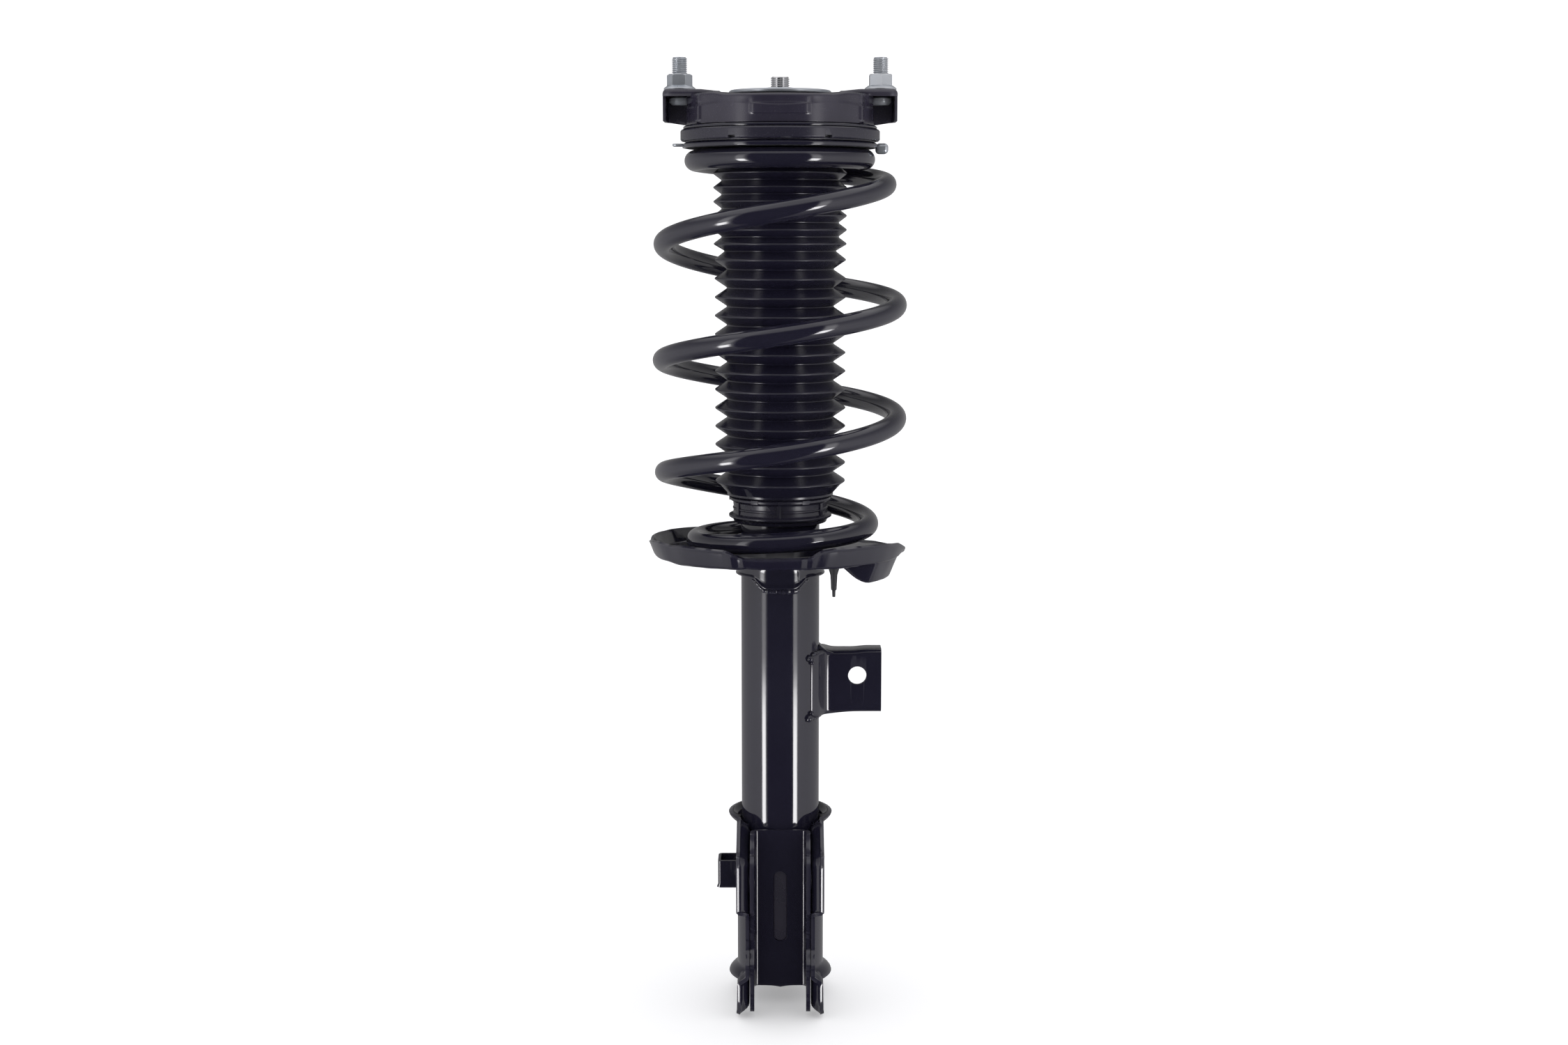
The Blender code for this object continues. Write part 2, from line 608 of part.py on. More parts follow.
def pan_radius(angle):
    """Mid-sheet radius of the pan's rim, wider to each side and set back across the front."""
    side = math.cos(math.radians(angle))
    reach = 68.6 + (11.2 if side > 0 else 14.9) * abs(side) ** 1.5
    return reach - 3.6 * window(angle_between(angle, 263), 0, 17, 9)


def place_pan(u, v):
    """One point of the pan: v runs from the neck at the tube out to the rim."""
    angle = (360.0 * u / PAN_COLUMNS) % 360
    reach = pan_radius(angle)
    rim = smooth_curve(PAN_RIM, angle)
    pocket = 13.0 * window(angle_between(angle, POCKET_ANGLE), 0, 13, 14)
    rows = ((29.6, -286.0), (30.0, -291.5), (33.5, PAN_FLOOR), (56.0, PAN_FLOOR),
            (reach - 6.0, PAN_FLOOR - 0.85 * pocket), (reach - 2.6, PAN_FLOOR + 1.2 - pocket),
            (reach - 0.6, (PAN_FLOOR + rim) / 2 - 0.45 * pocket), (reach, rim))
    radius, height = rows[v]
    a = math.radians(angle)
    return (radius * math.cos(a), radius * math.sin(a), height)


def place_collar(u, v):
    """Support collar on the tube, with a tongue at the front of its lower edge."""
    angle = 360.0 * u / COLLAR_COLUMNS
    bottom = -312.0 - 7.0 * window(angle_between(angle, 270), 0, 16, 26)
    flare = 1.2 if v == 0 else 0.0
    heights = (-298.0, -301.0, (-301.0 + bottom) / 2, bottom)
    a = math.radians(angle)
    radius = TUBE_RADIUS + GAP + 1.2 + flare
    return (radius * math.cos(a), radius * math.sin(a), heights[v])


def build_lower_seat(body):
    """Pressed pan, the collar below it and the rubber wedge that the last coil stands on."""
    pan = add_piece("lower_spring_seat", surface_mesh("lower_spring_seat", PAN_COLUMNS, 7, place_pan, True),
                    body, GLOSS_PAINT)
    add_solidify(pan, PAN_SHEET)
    tail_hole = cylinder_mesh("tail_hole", 4.2, 12, (*TAIL_POINT, PAN_FLOOR), segments=16)
    boolean(pan, add_cutter("tail_hole", tail_hole))
    collar_mesh = surface_mesh("seat_collar", COLLAR_COLUMNS, 3, place_collar, True)
    collar = add_piece("seat_collar", collar_mesh, body, GLOSS_PAINT)
    add_solidify(collar, 2.4)

    wedge_start = COIL_START + 6
    wedge_end = -46.0
    columns = 20
    base = PAN_FLOOR + PAN_SHEET / 2 + GAP

    def place_wedge(u, v):
        turn = wedge_start + (wedge_end - wedge_start) * u / columns
        centre = coil_point(turn)
        reach = math.hypot(centre.x, centre.y)
        a = math.radians(turn)
        radius = reach + (-4.6, 0.0, 4.2)[v]
        top = centre.z - WIRE_RADIUS - GAP - 0.25
        return (radius * math.cos(a), radius * math.sin(a), max(top, base + 0.5))

    mesh = surface_mesh("lower_insulator", columns, 2, place_wedge)
    bm = bmesh.new()
    bm.from_mesh(mesh)
    if sum(face.normal.z for face in bm.faces) < 0:
        bmesh.ops.reverse_faces(bm, faces=bm.faces)
    top_faces = list(bm.faces)
    made = bmesh.ops.extrude_face_region(bm, geom=top_faces)
    for vert in (item for item in made["geom"] if isinstance(item, bmesh.types.BMVert)):
        vert.co.z = base * MM
    bmesh.ops.recalc_face_normals(bm, faces=bm.faces)
    bm.to_mesh(mesh)
    bm.free()
    insulator = add_piece("lower_insulator", mesh, body, SOFT_RUBBER)
    tail = cylinder_mesh("wedge_tail", 1.0, 24.0, (*TAIL_POINT, -304.5), segments=12, top_radius=3.6)
    boolean(insulator, add_cutter("wedge_tail", tail), "UNION")


# ---------------------------------------------------------------- knuckle bracket

WRAP_COLUMNS = 8
EAR_FRACTIONS = (0.0, 0.35, 0.7, 0.85, 0.93, 1.0)
EAR_COLUMNS = len(EAR_FRACTIONS) - 1
EDGE_ROWS = (0.0, 3.0, 7.0)
MIDDLE_ROWS = (-500.0, -518.5, -523.0, -535.0, -547.0, -556.0)
CLEVIS_ROWS = 2 * len(EDGE_ROWS) + len(MIDDLE_ROWS) - 1


def ear_front(height):
    """How far forward the ears reach at a height: two lobes round the bolt holes."""
    upper = 56.0 - 8.5 * smooth_step(-height, 519.5, 525.0)
    lower = 9.5 * smooth_step(-height, 545.0, 556.0)
    rounding = 4.0 * smooth_step(-height, 578.0, 588.0) + 4.0 * smooth_step(height, -490.0, -482.0)
    return upper + lower - rounding


def ear_rows(top, bottom):
    """Heights of the bracket's rows between its top and bottom edges."""
    rows = [top - d for d in EDGE_ROWS] + list(MIDDLE_ROWS)
    return rows + [bottom + d for d in reversed(EDGE_ROWS)]


def lip_offset(from_edge):
    """How far the rolled lip stands out at a distance from the sheet's edge."""
    return LIP_REACH * (1 - smooth_step(from_edge, 0.0, 7.5))


def place_clevis_outer(u, v):
    """Right half of the outer plate: round the back of the tube, then straight along the ear."""
    share = 0.0 if u <= WRAP_COLUMNS else EAR_FRACTIONS[u - WRAP_COLUMNS]
    top = -466.5 - 15.5 * smooth_step(share, 0.0, 1.0) - 1.0 * min(u / WRAP_COLUMNS, 1.0)
    bottom = -577.0 - 12.5 * smooth_step(share, 0.0, 0.8)
    height = ear_rows(top, bottom)[v]
    lip = max(lip_offset(top - height), lip_offset(height - bottom))
    last_angle = math.acos(EAR_PLATE_OFFSET / CLEVIS_WRAP_RADIUS)
    if u <= WRAP_COLUMNS:
        a = math.pi / 2 - (math.pi / 2 + last_angle) * u / WRAP_COLUMNS
        radius = CLEVIS_WRAP_RADIUS + 0.8 * lip
        if u == 0:
            return (0.0, radius, height)
        return (radius * math.cos(a), radius * math.sin(a), height)
    start = -CLEVIS_WRAP_RADIUS * math.sin(last_angle)
    front = -ear_front(height)
    y = start + (front - start) * share
    if height > -520.5:
        lip = max(lip, lip_offset(abs(y - front)))
    return (EAR_PLATE_OFFSET + lip, y, height)


def place_clevis_inner(u, v):
    """Right half of the inner plate: flat web in front of the tube, then a flange along the ear."""
    web = -(TUBE_RADIUS + 0.4 + INNER_SHEET / 2)
    bend = 4.2
    corner = INNER_FLANGE_OFFSET - bend
    share = max(0.0, (u - 4) / 3)
    top = -473.0 - 10.5 * smooth_step(share, 0.1, 1.0)
    bottom = -577.6 - 1.4 * (1 - min(u, 4) / 4) ** 2 - 9.9 * smooth_step(share, 0.0, 0.8)
    height = ear_rows(top, bottom)[v]
    if u <= 2:
        return (corner * u / 2, web, height)
    if u <= 4:
        a = math.pi / 2 - (math.pi / 2) * (u - 2) / 2
        return (corner + bend * math.cos(a), web - bend + bend * math.sin(a), height)
    front = -(ear_front(height) - 1.2)
    return (INNER_FLANGE_OFFSET, web - bend + (front - web + bend) * share, height)


def build_knuckle_bracket(body):
    """Two nested pressings welded to the tube, with two bolt holes through each ear."""
    outer = add_piece("clevis_outer", surface_mesh("clevis_outer", WRAP_COLUMNS + EAR_COLUMNS, CLEVIS_ROWS,
                                                   place_clevis_outer), body, GLOSS_PAINT)
    inner = add_piece("clevis_inner", surface_mesh("clevis_inner", 7, CLEVIS_ROWS, place_clevis_inner),
                      body, GLOSS_PAINT)
    for piece, sheet in ((outer, CLEVIS_SHEET), (inner, INNER_SHEET)):
        add_mirror(piece)
        add_solidify(piece, sheet)
    for i, (y, z) in enumerate(KNUCKLE_HOLES):
        hole = cylinder_mesh(f"knuckle_hole_{i}", KNUCKLE_HOLE_RADIUS, 80, (0, y, z), "X", 16)
        cutter = add_cutter(hole.name, hole)
        boolean(outer, cutter)
        boolean(inner, cutter)
    recess = block_mesh("web_recess", (-4.3, -31.0, -547.7), (4.3, -27.4, -500.5), 2.0)
    boolean(inner, add_cutter("web_recess", recess))


# ---------------------------------------------------------------- small brackets

def place_link_bracket(u, v):
    """Channel open to the back; its web curves forward to the tube at the root."""
    share = u / 8
    root = 19.5
    x = root + (LINK_REACH - root) * share
    web_y = -15.0 * (1 - smooth_step(x, 18.0, 46.0))
    back_y = 14.5
    bend = 2.4
    middle = (LINK_WEB_TOP + LINK_WEB_BOTTOM) / 2
    ring = ((back_y, LINK_WEB_TOP), (web_y + bend, LINK_WEB_TOP),
            (web_y + 0.3 * bend, LINK_WEB_TOP - 0.3 * bend), (web_y, LINK_WEB_TOP - bend),
            (web_y, middle), (web_y, LINK_WEB_BOTTOM + bend),
            (web_y + 0.3 * bend, LINK_WEB_BOTTOM + 0.3 * bend), (web_y + bend, LINK_WEB_BOTTOM),
            (back_y, LINK_WEB_BOTTOM))
    y, z = ring[v]
    return (x, y, z)


def place_hose_bracket(u, v):
    """Three-sided clip wrapped round the side of the knuckle bracket."""
    path = ((-29.4, -9.5), (-39.0, -9.5), (-40.2, -8.3), (-40.2, 5.8), (-39.0, 7.0), (-29.4, 7.0))
    x, y = path[u]
    return (x, y, HOSE_TOP + (HOSE_BOTTOM - HOSE_TOP) * v / 2)


def build_small_brackets(body):
    """Anti-roll bar link bracket on the right and hose clip bracket on the left."""
    link_mesh = surface_mesh("link_bracket", 8, 8, place_link_bracket)
    link = add_piece("link_bracket", link_mesh, body, GLOSS_PAINT)
    add_solidify(link, 2.6)
    tube_space = cylinder_mesh("tube_space", TUBE_RADIUS + GAP + 0.1, 80, (0, 0, -380), segments=32)
    boolean(link, add_cutter("tube_space", tube_space))
    x, z = LINK_HOLE
    hole = cylinder_mesh("link_hole", LINK_HOLE_RADIUS, 12, (x, 0, z), "Y", 20)
    boolean(link, add_cutter("link_hole", hole))
    hose_mesh = surface_mesh("hose_bracket", 5, 2, place_hose_bracket)
    hose = add_piece("hose_bracket", hose_mesh, body, GLOSS_PAINT)
    add_solidify(hose, 1.8)


# ---------------------------------------------------------------- assembly

def build_strut():
    """Build every body: mount and rod, bearing cage, upper seat, and the strut itself."""
    mount_and_rod = body_empty("mount_and_rod", EAR_TOP)
    bearing_cage = body_empty("bearing_cage", BALL_HEIGHT, mount_and_rod)
    upper_seat = body_empty("upper_seat", SEAT_PLATE_TOP, mount_and_rod)
    strut_body = body_empty("strut_body", TUBE_TOP, upper_seat)

    build_mount_upper_plate(mount_and_rod)
    build_mount_inner_pieces(mount_and_rod)
    build_rebound_washer_and_nut(mount_and_rod)
    build_stud_and_nut(mount_and_rod, -1, "left")
    build_stud_and_nut(mount_and_rod, 1, "right")
    build_bearing_upper_cap(mount_and_rod)
    build_rod_and_piston(mount_and_rod)
    build_bearing_cage(bearing_cage)
    build_upper_seat(upper_seat)
    build_coil_spring(upper_seat)
    build_boot_and_bump_stop(upper_seat, mount_and_rod)
    build_tube_and_guide(strut_body)
    build_strut_cap(strut_body)
    build_lower_seat(strut_body)
    build_knuckle_bracket(strut_body)
    build_small_brackets(strut_body)


build_strut()
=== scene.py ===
import json
from math import acos, copysign, cos, hypot, pi, radians, sin, tan

import bmesh
import bpy
import numpy as np
from mathutils import Matrix, Vector, noise


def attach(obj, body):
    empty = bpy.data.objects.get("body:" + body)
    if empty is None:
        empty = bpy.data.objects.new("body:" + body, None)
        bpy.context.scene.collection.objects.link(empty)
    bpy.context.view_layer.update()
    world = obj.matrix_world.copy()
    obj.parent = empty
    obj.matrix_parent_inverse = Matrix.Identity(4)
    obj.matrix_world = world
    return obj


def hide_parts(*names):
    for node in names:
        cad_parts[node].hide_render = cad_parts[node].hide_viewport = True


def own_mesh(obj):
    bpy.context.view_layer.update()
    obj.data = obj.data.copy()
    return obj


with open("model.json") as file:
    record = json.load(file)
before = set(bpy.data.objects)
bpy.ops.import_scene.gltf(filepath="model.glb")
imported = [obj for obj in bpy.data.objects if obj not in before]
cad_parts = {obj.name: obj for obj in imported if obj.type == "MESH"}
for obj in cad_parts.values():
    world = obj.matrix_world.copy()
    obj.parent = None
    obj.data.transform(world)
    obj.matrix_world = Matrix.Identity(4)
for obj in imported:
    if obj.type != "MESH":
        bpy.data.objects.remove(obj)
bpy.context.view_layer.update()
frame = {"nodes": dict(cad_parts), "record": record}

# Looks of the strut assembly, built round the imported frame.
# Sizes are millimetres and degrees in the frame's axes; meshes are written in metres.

MM = 0.001
STUD_OFFSET = 63.3
TUBE_RADIUS = 25.4
WIRE_RADIUS = 6.4
BEVEL_ANGLE = 50         # degrees; sharper edges are rounded
MOUNT = "mount_and_rod"
SEAT = "upper_seat"
STRUT = "strut_body"


# ---- number helpers

def smooth_step(value, start, end):
    """Blend from 0 at start to 1 at end."""
    share = min(max((value - start) / (end - start), 0.0), 1.0)
    return share * share * (3 - 2 * share)


def window(value, centre, half_width, fade):
    """1 inside the window, fading to 0 over the fade width outside it."""
    return 1 - smooth_step(abs(value - centre), half_width, half_width + fade)


def angle_between(angle, centre):
    """Signed difference of two angles in degrees, from -180 to 180."""
    return (angle - centre + 180) % 360 - 180


def sector(angle, centre, half_width, fade):
    """1 within half a width of an angle in degrees, fading to 0 beyond it."""
    return window(angle_between(angle, centre), 0, half_width, fade)


def smooth_curve(stations, position):
    """Monotone cubic through (position, value) stations."""
    xs = np.array([station[0] for station in stations], dtype=float)
    ys = np.array([station[1] for station in stations], dtype=float)
    steps = np.diff(xs)
    slopes = np.diff(ys) / steps
    tangents = np.zeros(len(xs))
    tangents[0] = slopes[0]
    tangents[-1] = slopes[-1]
    for i in range(1, len(xs) - 1):
        if slopes[i - 1] * slopes[i] > 0:
            before = 2 * steps[i] + steps[i - 1]
            after = steps[i] + 2 * steps[i - 1]
            tangents[i] = (before + after) / (before / slopes[i - 1] + after / slopes[i])
    i = int(min(max(np.searchsorted(xs, position) - 1, 0), len(xs) - 2))
    t = (position - xs[i]) / steps[i]
    rise = (1 + 2 * t) * (1 - t) ** 2 * ys[i] + t * t * (3 - 2 * t) * ys[i + 1]
    lean = t * (1 - t) ** 2 * tangents[i] - t * t * (1 - t) * tangents[i + 1]
    return float(rise + steps[i] * lean)


def polar(radius, angle, height):
    """Point at an angle round the strut axis."""
    a = radians(angle)
    return (radius * cos(a), radius * sin(a), height)


def filleted(points, default, closed=True, steps=4):
    """Round the corners of a profile; a third value on a point sets that corner's own radius."""
    count = len(points)
    result = []
    for i, point in enumerate(points):
        here = Vector(point[:2])
        radius = point[2] if len(point) > 2 else default
        if radius <= 0 or (not closed and i in (0, count - 1)):
            result.append((here.x, here.y))
            continue
        before = Vector(points[i - 1][:2]) - here
        after = Vector(points[(i + 1) % count][:2]) - here
        half = min(before.angle(after) / 2, radians(88))
        reach = min(radius / tan(half), 0.45 * before.length, 0.45 * after.length)
        start = here + before.normalized() * reach
        end = here + after.normalized() * reach
        for k in range(steps + 1):
            t = k / steps
            spot = start * (1 - t) ** 2 + here * 2 * t * (1 - t) + end * t * t
            result.append((spot.x, spot.y))
    return result


def point_on(path, share):
    """Point at a share of the way along a path, each stretch counting alike."""
    spot = share * (len(path) - 1)
    i = min(int(spot), len(path) - 2)
    return Vector(path[i]).lerp(Vector(path[i + 1]), spot - i)


# ---- mesh helpers

def mesh_of(points, faces, weld=0.0):
    """Make a closed mesh from points in millimetres, with its faces turned outwards."""
    mesh = bpy.data.meshes.new("mesh")
    mesh.from_pydata([tuple(c * MM for c in p) for p in points], [], faces)
    bm = bmesh.new()
    bm.from_mesh(mesh)
    if weld:
        bmesh.ops.remove_doubles(bm, verts=bm.verts, dist=weld * MM)
    bmesh.ops.recalc_face_normals(bm, faces=bm.faces)
    bm.to_mesh(mesh)
    bm.free()
    return mesh


def mesh_from(bm):
    """Make a mesh from a bmesh and free the bmesh."""
    mesh = bpy.data.meshes.new("mesh")
    bm.to_mesh(mesh)
    bm.free()
    return mesh


def ring_faces(rings, count, looped=False, columns=None):
    """Faces between neighbouring rings of points; fewer columns than points leave a sheet open."""
    faces = []
    for row in range(rings if looped else rings - 1):
        here, after = row * count, (row + 1) % rings * count
        for k in range(columns or count):
            n = (k + 1) % count
            faces.append((here + k, here + n, after + n, after + k))
    return faces


def turned_mesh(profile, steps=96, closed=True, shape=None):
    """Turn a profile of (radius, height) points; shape(angle, r, z) may move each point."""
    points = []
    rings = []
    for r, z in profile:
        if r < 1e-6:
            rings.append([len(points)] * steps)
            points.append((0.0, 0.0, z))
            continue
        start = len(points)
        rings.append(list(range(start, start + steps)))
        for k in range(steps):
            angle = 360.0 * k / steps
            radius, height = shape(angle, r, z) if shape else (r, z)
            points.append(polar(radius, angle, height))
    pairs = list(zip(rings, rings[1:]))
    if closed:
        pairs.append((rings[-1], rings[0]))
    faces = []
    for lower, upper in pairs:
        for k in range(steps):
            n = (k + 1) % steps
            face = list(dict.fromkeys((lower[k], lower[n], upper[n], upper[k])))
            if len(face) > 2:
                faces.append(face)
    return mesh_of(points, faces)


def loft_mesh(rings, capped=True, looped=False, weld=0.0):
    """Skin a row of closed rings of points, capped at both ends or looped back to the first ring."""
    count = len(rings[0])
    points = [tuple(p) for ring in rings for p in ring]
    faces = ring_faces(len(rings), count, looped)
    if capped:
        faces.append(list(range(count)))
        faces.append(list(range(len(points) - count, len(points))))
    return mesh_of(points, faces, weld)


def swept_mesh(path, sides, radius_at):
    """A round bar along a path, with flat ends; radius_at takes the share of the way."""
    path = [Vector(p) for p in path]
    last = len(path) - 1
    side = Vector((0, 0, 1))
    turns = [2 * pi * k / sides for k in range(sides)]
    rings = []
    for i, point in enumerate(path):
        along = (path[min(i + 1, last)] - path[max(i - 1, 0)]).normalized()
        side = (side - along * side.dot(along)).normalized()
        other = along.cross(side)
        reach = radius_at(i / last)
        rings.append([point + reach * (side * cos(a) + other * sin(a)) for a in turns])
    return loft_mesh(rings)


def grid_mesh(place, columns, rows, wrap=False):
    """A sheet whose points are place(u, v), with u and v from 0 to 1."""
    across = columns if wrap else columns + 1
    points = [place(u / columns, v / rows) for v in range(rows + 1) for u in range(across)]
    return mesh_of(points, ring_faces(rows + 1, across, columns=columns))


def cylinder_mesh(radius, depth, centre, axis="Z", segments=48):
    """A capped cylinder along one axis."""
    bm = bmesh.new()
    bmesh.ops.create_cone(bm, cap_ends=True, segments=segments, radius1=radius * MM,
                          radius2=radius * MM, depth=depth * MM)
    if axis != "Z":
        turn = Matrix.Rotation(pi / 2, 3, "Y" if axis == "X" else "X")
        bmesh.ops.rotate(bm, verts=bm.verts, cent=(0, 0, 0), matrix=turn)
    bmesh.ops.translate(bm, verts=bm.verts, vec=Vector(centre) * MM)
    return mesh_from(bm)


def block_mesh(low, high, round_by, upright):
    """A box between two corners, with its vertical edges rounded by upright, then the others."""
    bm = bmesh.new()
    bmesh.ops.create_cube(bm, size=1.0)
    bmesh.ops.scale(bm, verts=bm.verts, vec=(Vector(high) - Vector(low)) * MM)
    bmesh.ops.translate(bm, verts=bm.verts, vec=(Vector(high) + Vector(low)) / 2 * MM)
    edges = [e for e in bm.edges if abs((e.verts[0].co - e.verts[1].co).normalized().z) > 0.9]
    bmesh.ops.bevel(bm, geom=edges, offset=upright * MM, segments=8, profile=0.5, affect="EDGES")
    sharp = [e for e in bm.edges if e.calc_face_angle(0.0) > radians(35)]
    bmesh.ops.bevel(bm, geom=sharp, offset=round_by * MM, segments=4, profile=0.5, affect="EDGES")
    return mesh_from(bm)


def curved_block(inner, outer, start, end, low, high, round_by=0.3):
    """A block bent round the axis between two radii, two angles and two heights."""
    ring = filleted([(inner, low), (outer, low), (outer, high), (inner, high)], round_by, steps=3)
    angles = [start + (end - start) * k / 16 for k in range(17)]
    return loft_mesh([[polar(r, angle, z) for r, z in ring] for angle in angles])


def settle(piece):
    """Write the modifiers of a piece into its mesh."""
    graph = bpy.context.evaluated_depsgraph_get()
    mesh = bpy.data.meshes.new_from_object(piece.evaluated_get(graph))
    piece.modifiers.clear()
    piece.data = mesh


def add_bevel(piece, width, segments=3):
    """Round the sharp edges of a piece."""
    bevel = piece.modifiers.new("round", "BEVEL")
    bevel.width = width * MM
    bevel.segments = segments
    bevel.limit_method = "ANGLE"
    bevel.angle_limit = radians(BEVEL_ANGLE)


def sheet_piece(name, mesh, thickness):
    """A piece of sheet metal: a surface mesh with half the thickness to each side."""
    piece = new_object(name, mesh)
    solidify = piece.modifiers.new("sheet", "SOLIDIFY")
    solidify.thickness = thickness * MM
    solidify.offset = 0.0
    return piece


def clean_volume(mesh):
    """Weld a mesh, turn its faces outwards and return its volume in cubic millimetres."""
    bm = bmesh.new()
    bm.from_mesh(mesh)
    bmesh.ops.remove_doubles(bm, verts=bm.verts, dist=0.001 * MM)
    bmesh.ops.recalc_face_normals(bm, faces=bm.faces)
    volume = bm.calc_volume(signed=True) / MM ** 3
    if volume < 0:
        bmesh.ops.reverse_faces(bm, faces=bm.faces)
    bm.to_mesh(mesh)
    bm.free()
    return abs(volume)


def combine(piece, meshes, operation):
    """Join or cut meshes into a piece one by one, keeping a result only if its volume makes sense."""
    settle(piece)
    for mesh in meshes:
        before = clean_volume(piece.data)
        other = clean_volume(mesh)
        cutter = new_object("cutter", mesh)
        for solver in ("MANIFOLD", "EXACT"):
            modifier = piece.modifiers.new("boolean", "BOOLEAN")
            modifier.operation = operation
            modifier.solver = solver
            modifier.object = cutter
            graph = bpy.context.evaluated_depsgraph_get()
            result = bpy.data.meshes.new_from_object(piece.evaluated_get(graph))
            piece.modifiers.clear()
            after = clean_volume(result)
            if operation == "UNION":
                good = max(before, other) * 0.995 < after < (before + other) * 1.005
            else:
                good = before * 0.4 < after < before * 1.0005
            if good:
                piece.data = result
                break
        else:
            print("left out:", piece.name, operation)
        bpy.data.objects.remove(cutter, do_unlink=True)


def new_object(name, mesh):
    """Link a mesh as an object of the scene."""
    piece = bpy.data.objects.new(name, mesh)
    bpy.context.scene.collection.objects.link(piece)
    return piece


def finish_piece(piece, body, slot, smooth=35):
    """Shade a piece and give it its finish and body; NODE_fine stands for the CAD node NODE."""
    settle(piece)
    piece.data.materials.clear()
    piece.data.materials.append(FINISHES[slot])
    piece.data.shade_smooth()
    piece.data.set_sharp_from_angle(angle=radians(smooth))
    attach(piece, body)
    if piece.name.endswith("_fine"):
        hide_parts(piece.name.removesuffix("_fine"))


def turned_piece(name, profile, body, slot, fillet=0.4, steps=96, closed=True):
    """A turned piece that stands for the CAD node of the same name."""
    line = filleted(profile, fillet, closed)
    piece = new_object(name + "_fine", turned_mesh(line, steps, closed))
    finish_piece(piece, body, slot)


def finish_pressing(piece, width):
    """Round the edges of a painted pressing on the strut body and finish it."""
    add_bevel(piece, width)
    finish_piece(piece, STRUT, "gloss_paint", smooth=45)


def add_bead(name, path, radius, seed):
    """A weld bead along a path, with the ripples and lumps of a real weld."""
    def reach(t):
        broad = noise.noise(Vector((t * 9.0, seed * 3.7, 0.4)))
        lump = noise.noise(Vector((t * 41.0, seed * 1.7, 2.1)))
        return radius * (1 + 0.45 * broad + 0.35 * lump) * min(1.0, 0.45 + 9 * min(t, 1 - t))
    finish_piece(new_object(name, swept_mesh(path, 12, reach)), STRUT, "gloss_paint", smooth=60)


# ---- finishes

def add_node(tree, kind, inputs, **settings):
    """Add a shader node; an input takes a number, a colour or another node's output."""
    node = tree.nodes.new("ShaderNode" + kind)
    for name, value in settings.items():
        setattr(node, name, value)
    for socket, value in inputs.items():
        if isinstance(value, bpy.types.NodeSocket):
            tree.links.new(value, node.inputs[socket])
        else:
            node.inputs[socket].default_value = value
    return node


def make_finish(name, colour, second, metallic, roughness, grain, dust_and_edge_light, coat=0.0, stretch=(1, 1, 1)):
    """A layered finish: broad tint, roughness patches, fine grain relief, dust specks, and convex edges
    painted lighter as a highlight.

    roughness is (smooth, rough); grain is (scale per metre, relief in mm, waviness relief in mm);
    the argument after grain is (colour, amount), for dust specks and for the painted highlight on convex
    edges.
    """
    material = bpy.data.materials.new(name)
    material.use_nodes = True
    tree = material.node_tree
    shader = tree.nodes["Principled BSDF"]
    shader.inputs["Metallic"].default_value = metallic
    shader.inputs["Coat Weight"].default_value = coat
    shader.inputs["Coat Roughness"].default_value = 0.08
    place = add_node(tree, "TexCoord", {}).outputs["Object"]
    stretched = add_node(tree, "Mapping", {"Vector": place, "Scale": stretch}).outputs["Vector"]

    def noise_of(scale, detail, rough):
        inputs = {"Vector": stretched, "Scale": scale, "Detail": detail, "Roughness": rough}
        return add_node(tree, "TexNoise", inputs).outputs["Fac"]

    def spread(source, low, high, start, end):
        inputs = {"Value": source, "From Min": low, "From Max": high, "To Min": start, "To Max": end}
        return add_node(tree, "MapRange", inputs).outputs["Result"]

    def mixed(share, first, other):
        inputs = {"Factor": share, "A": first, "B": other}
        return add_node(tree, "Mix", inputs, data_type="RGBA").outputs["Result"]

    def bumped(height, relief, **under):
        inputs = {"Strength": 1.0, "Distance": relief * MM, "Height": height, **under}
        return add_node(tree, "Bump", inputs).outputs["Normal"]

    broad = noise_of(22.0, 4.0, 0.55)
    tint = mixed(spread(broad, 0.35, 0.65, 0.0, 1.0), (*colour, 1), (*second, 1))
    # Painted highlight: convex edges, found by pointiness, are mixed towards the lighter colour. The specks
    # on the next line are real dust.
    edges = spread(add_node(tree, "NewGeometry", {}).outputs["Pointiness"], 0.52, 0.60, 0.0, dust_and_edge_light[1])
    dust = spread(noise_of(1900.0, 1.0, 0.5), 0.66, 0.74, 0.0, 0.25 * dust_and_edge_light[1])
    # Mask of the dust specks and the painted edge highlight together; it also makes these places rougher.
    dust_and_edge_highlight = add_node(tree, "Math", {0: edges, 1: dust}, operation="ADD", use_clamp=True).outputs["Value"]
    rough = spread(broad, 0.3, 0.7, *roughness)
    rougher = add_node(tree, "Math", {0: dust_and_edge_highlight, 1: 0.25, 2: rough}, operation="MULTIPLY_ADD")
    waves = bumped(noise_of(55.0, 2.0, 0.4), grain[2])
    relief = bumped(noise_of(grain[0], 3.0, 0.6), grain[1], Normal=waves)
    tree.links.new(mixed(dust_and_edge_highlight, tint, (*dust_and_edge_light[0], 1)), shader.inputs["Base Color"])
    tree.links.new(rougher.outputs["Value"], shader.inputs["Roughness"])
    tree.links.new(relief, shader.inputs["Normal"])
    return material


# Lighter colours for dust specks and for the painted highlight on convex edges, by kind of surface.
PAINT_DUST_AND_EDGE_LIGHT = (0.060, 0.058, 0.075)
RUBBER_DUST_AND_EDGE_LIGHT = (0.050, 0.050, 0.062)
METAL_DUST_AND_EDGE_LIGHT = (0.80, 0.80, 0.82)
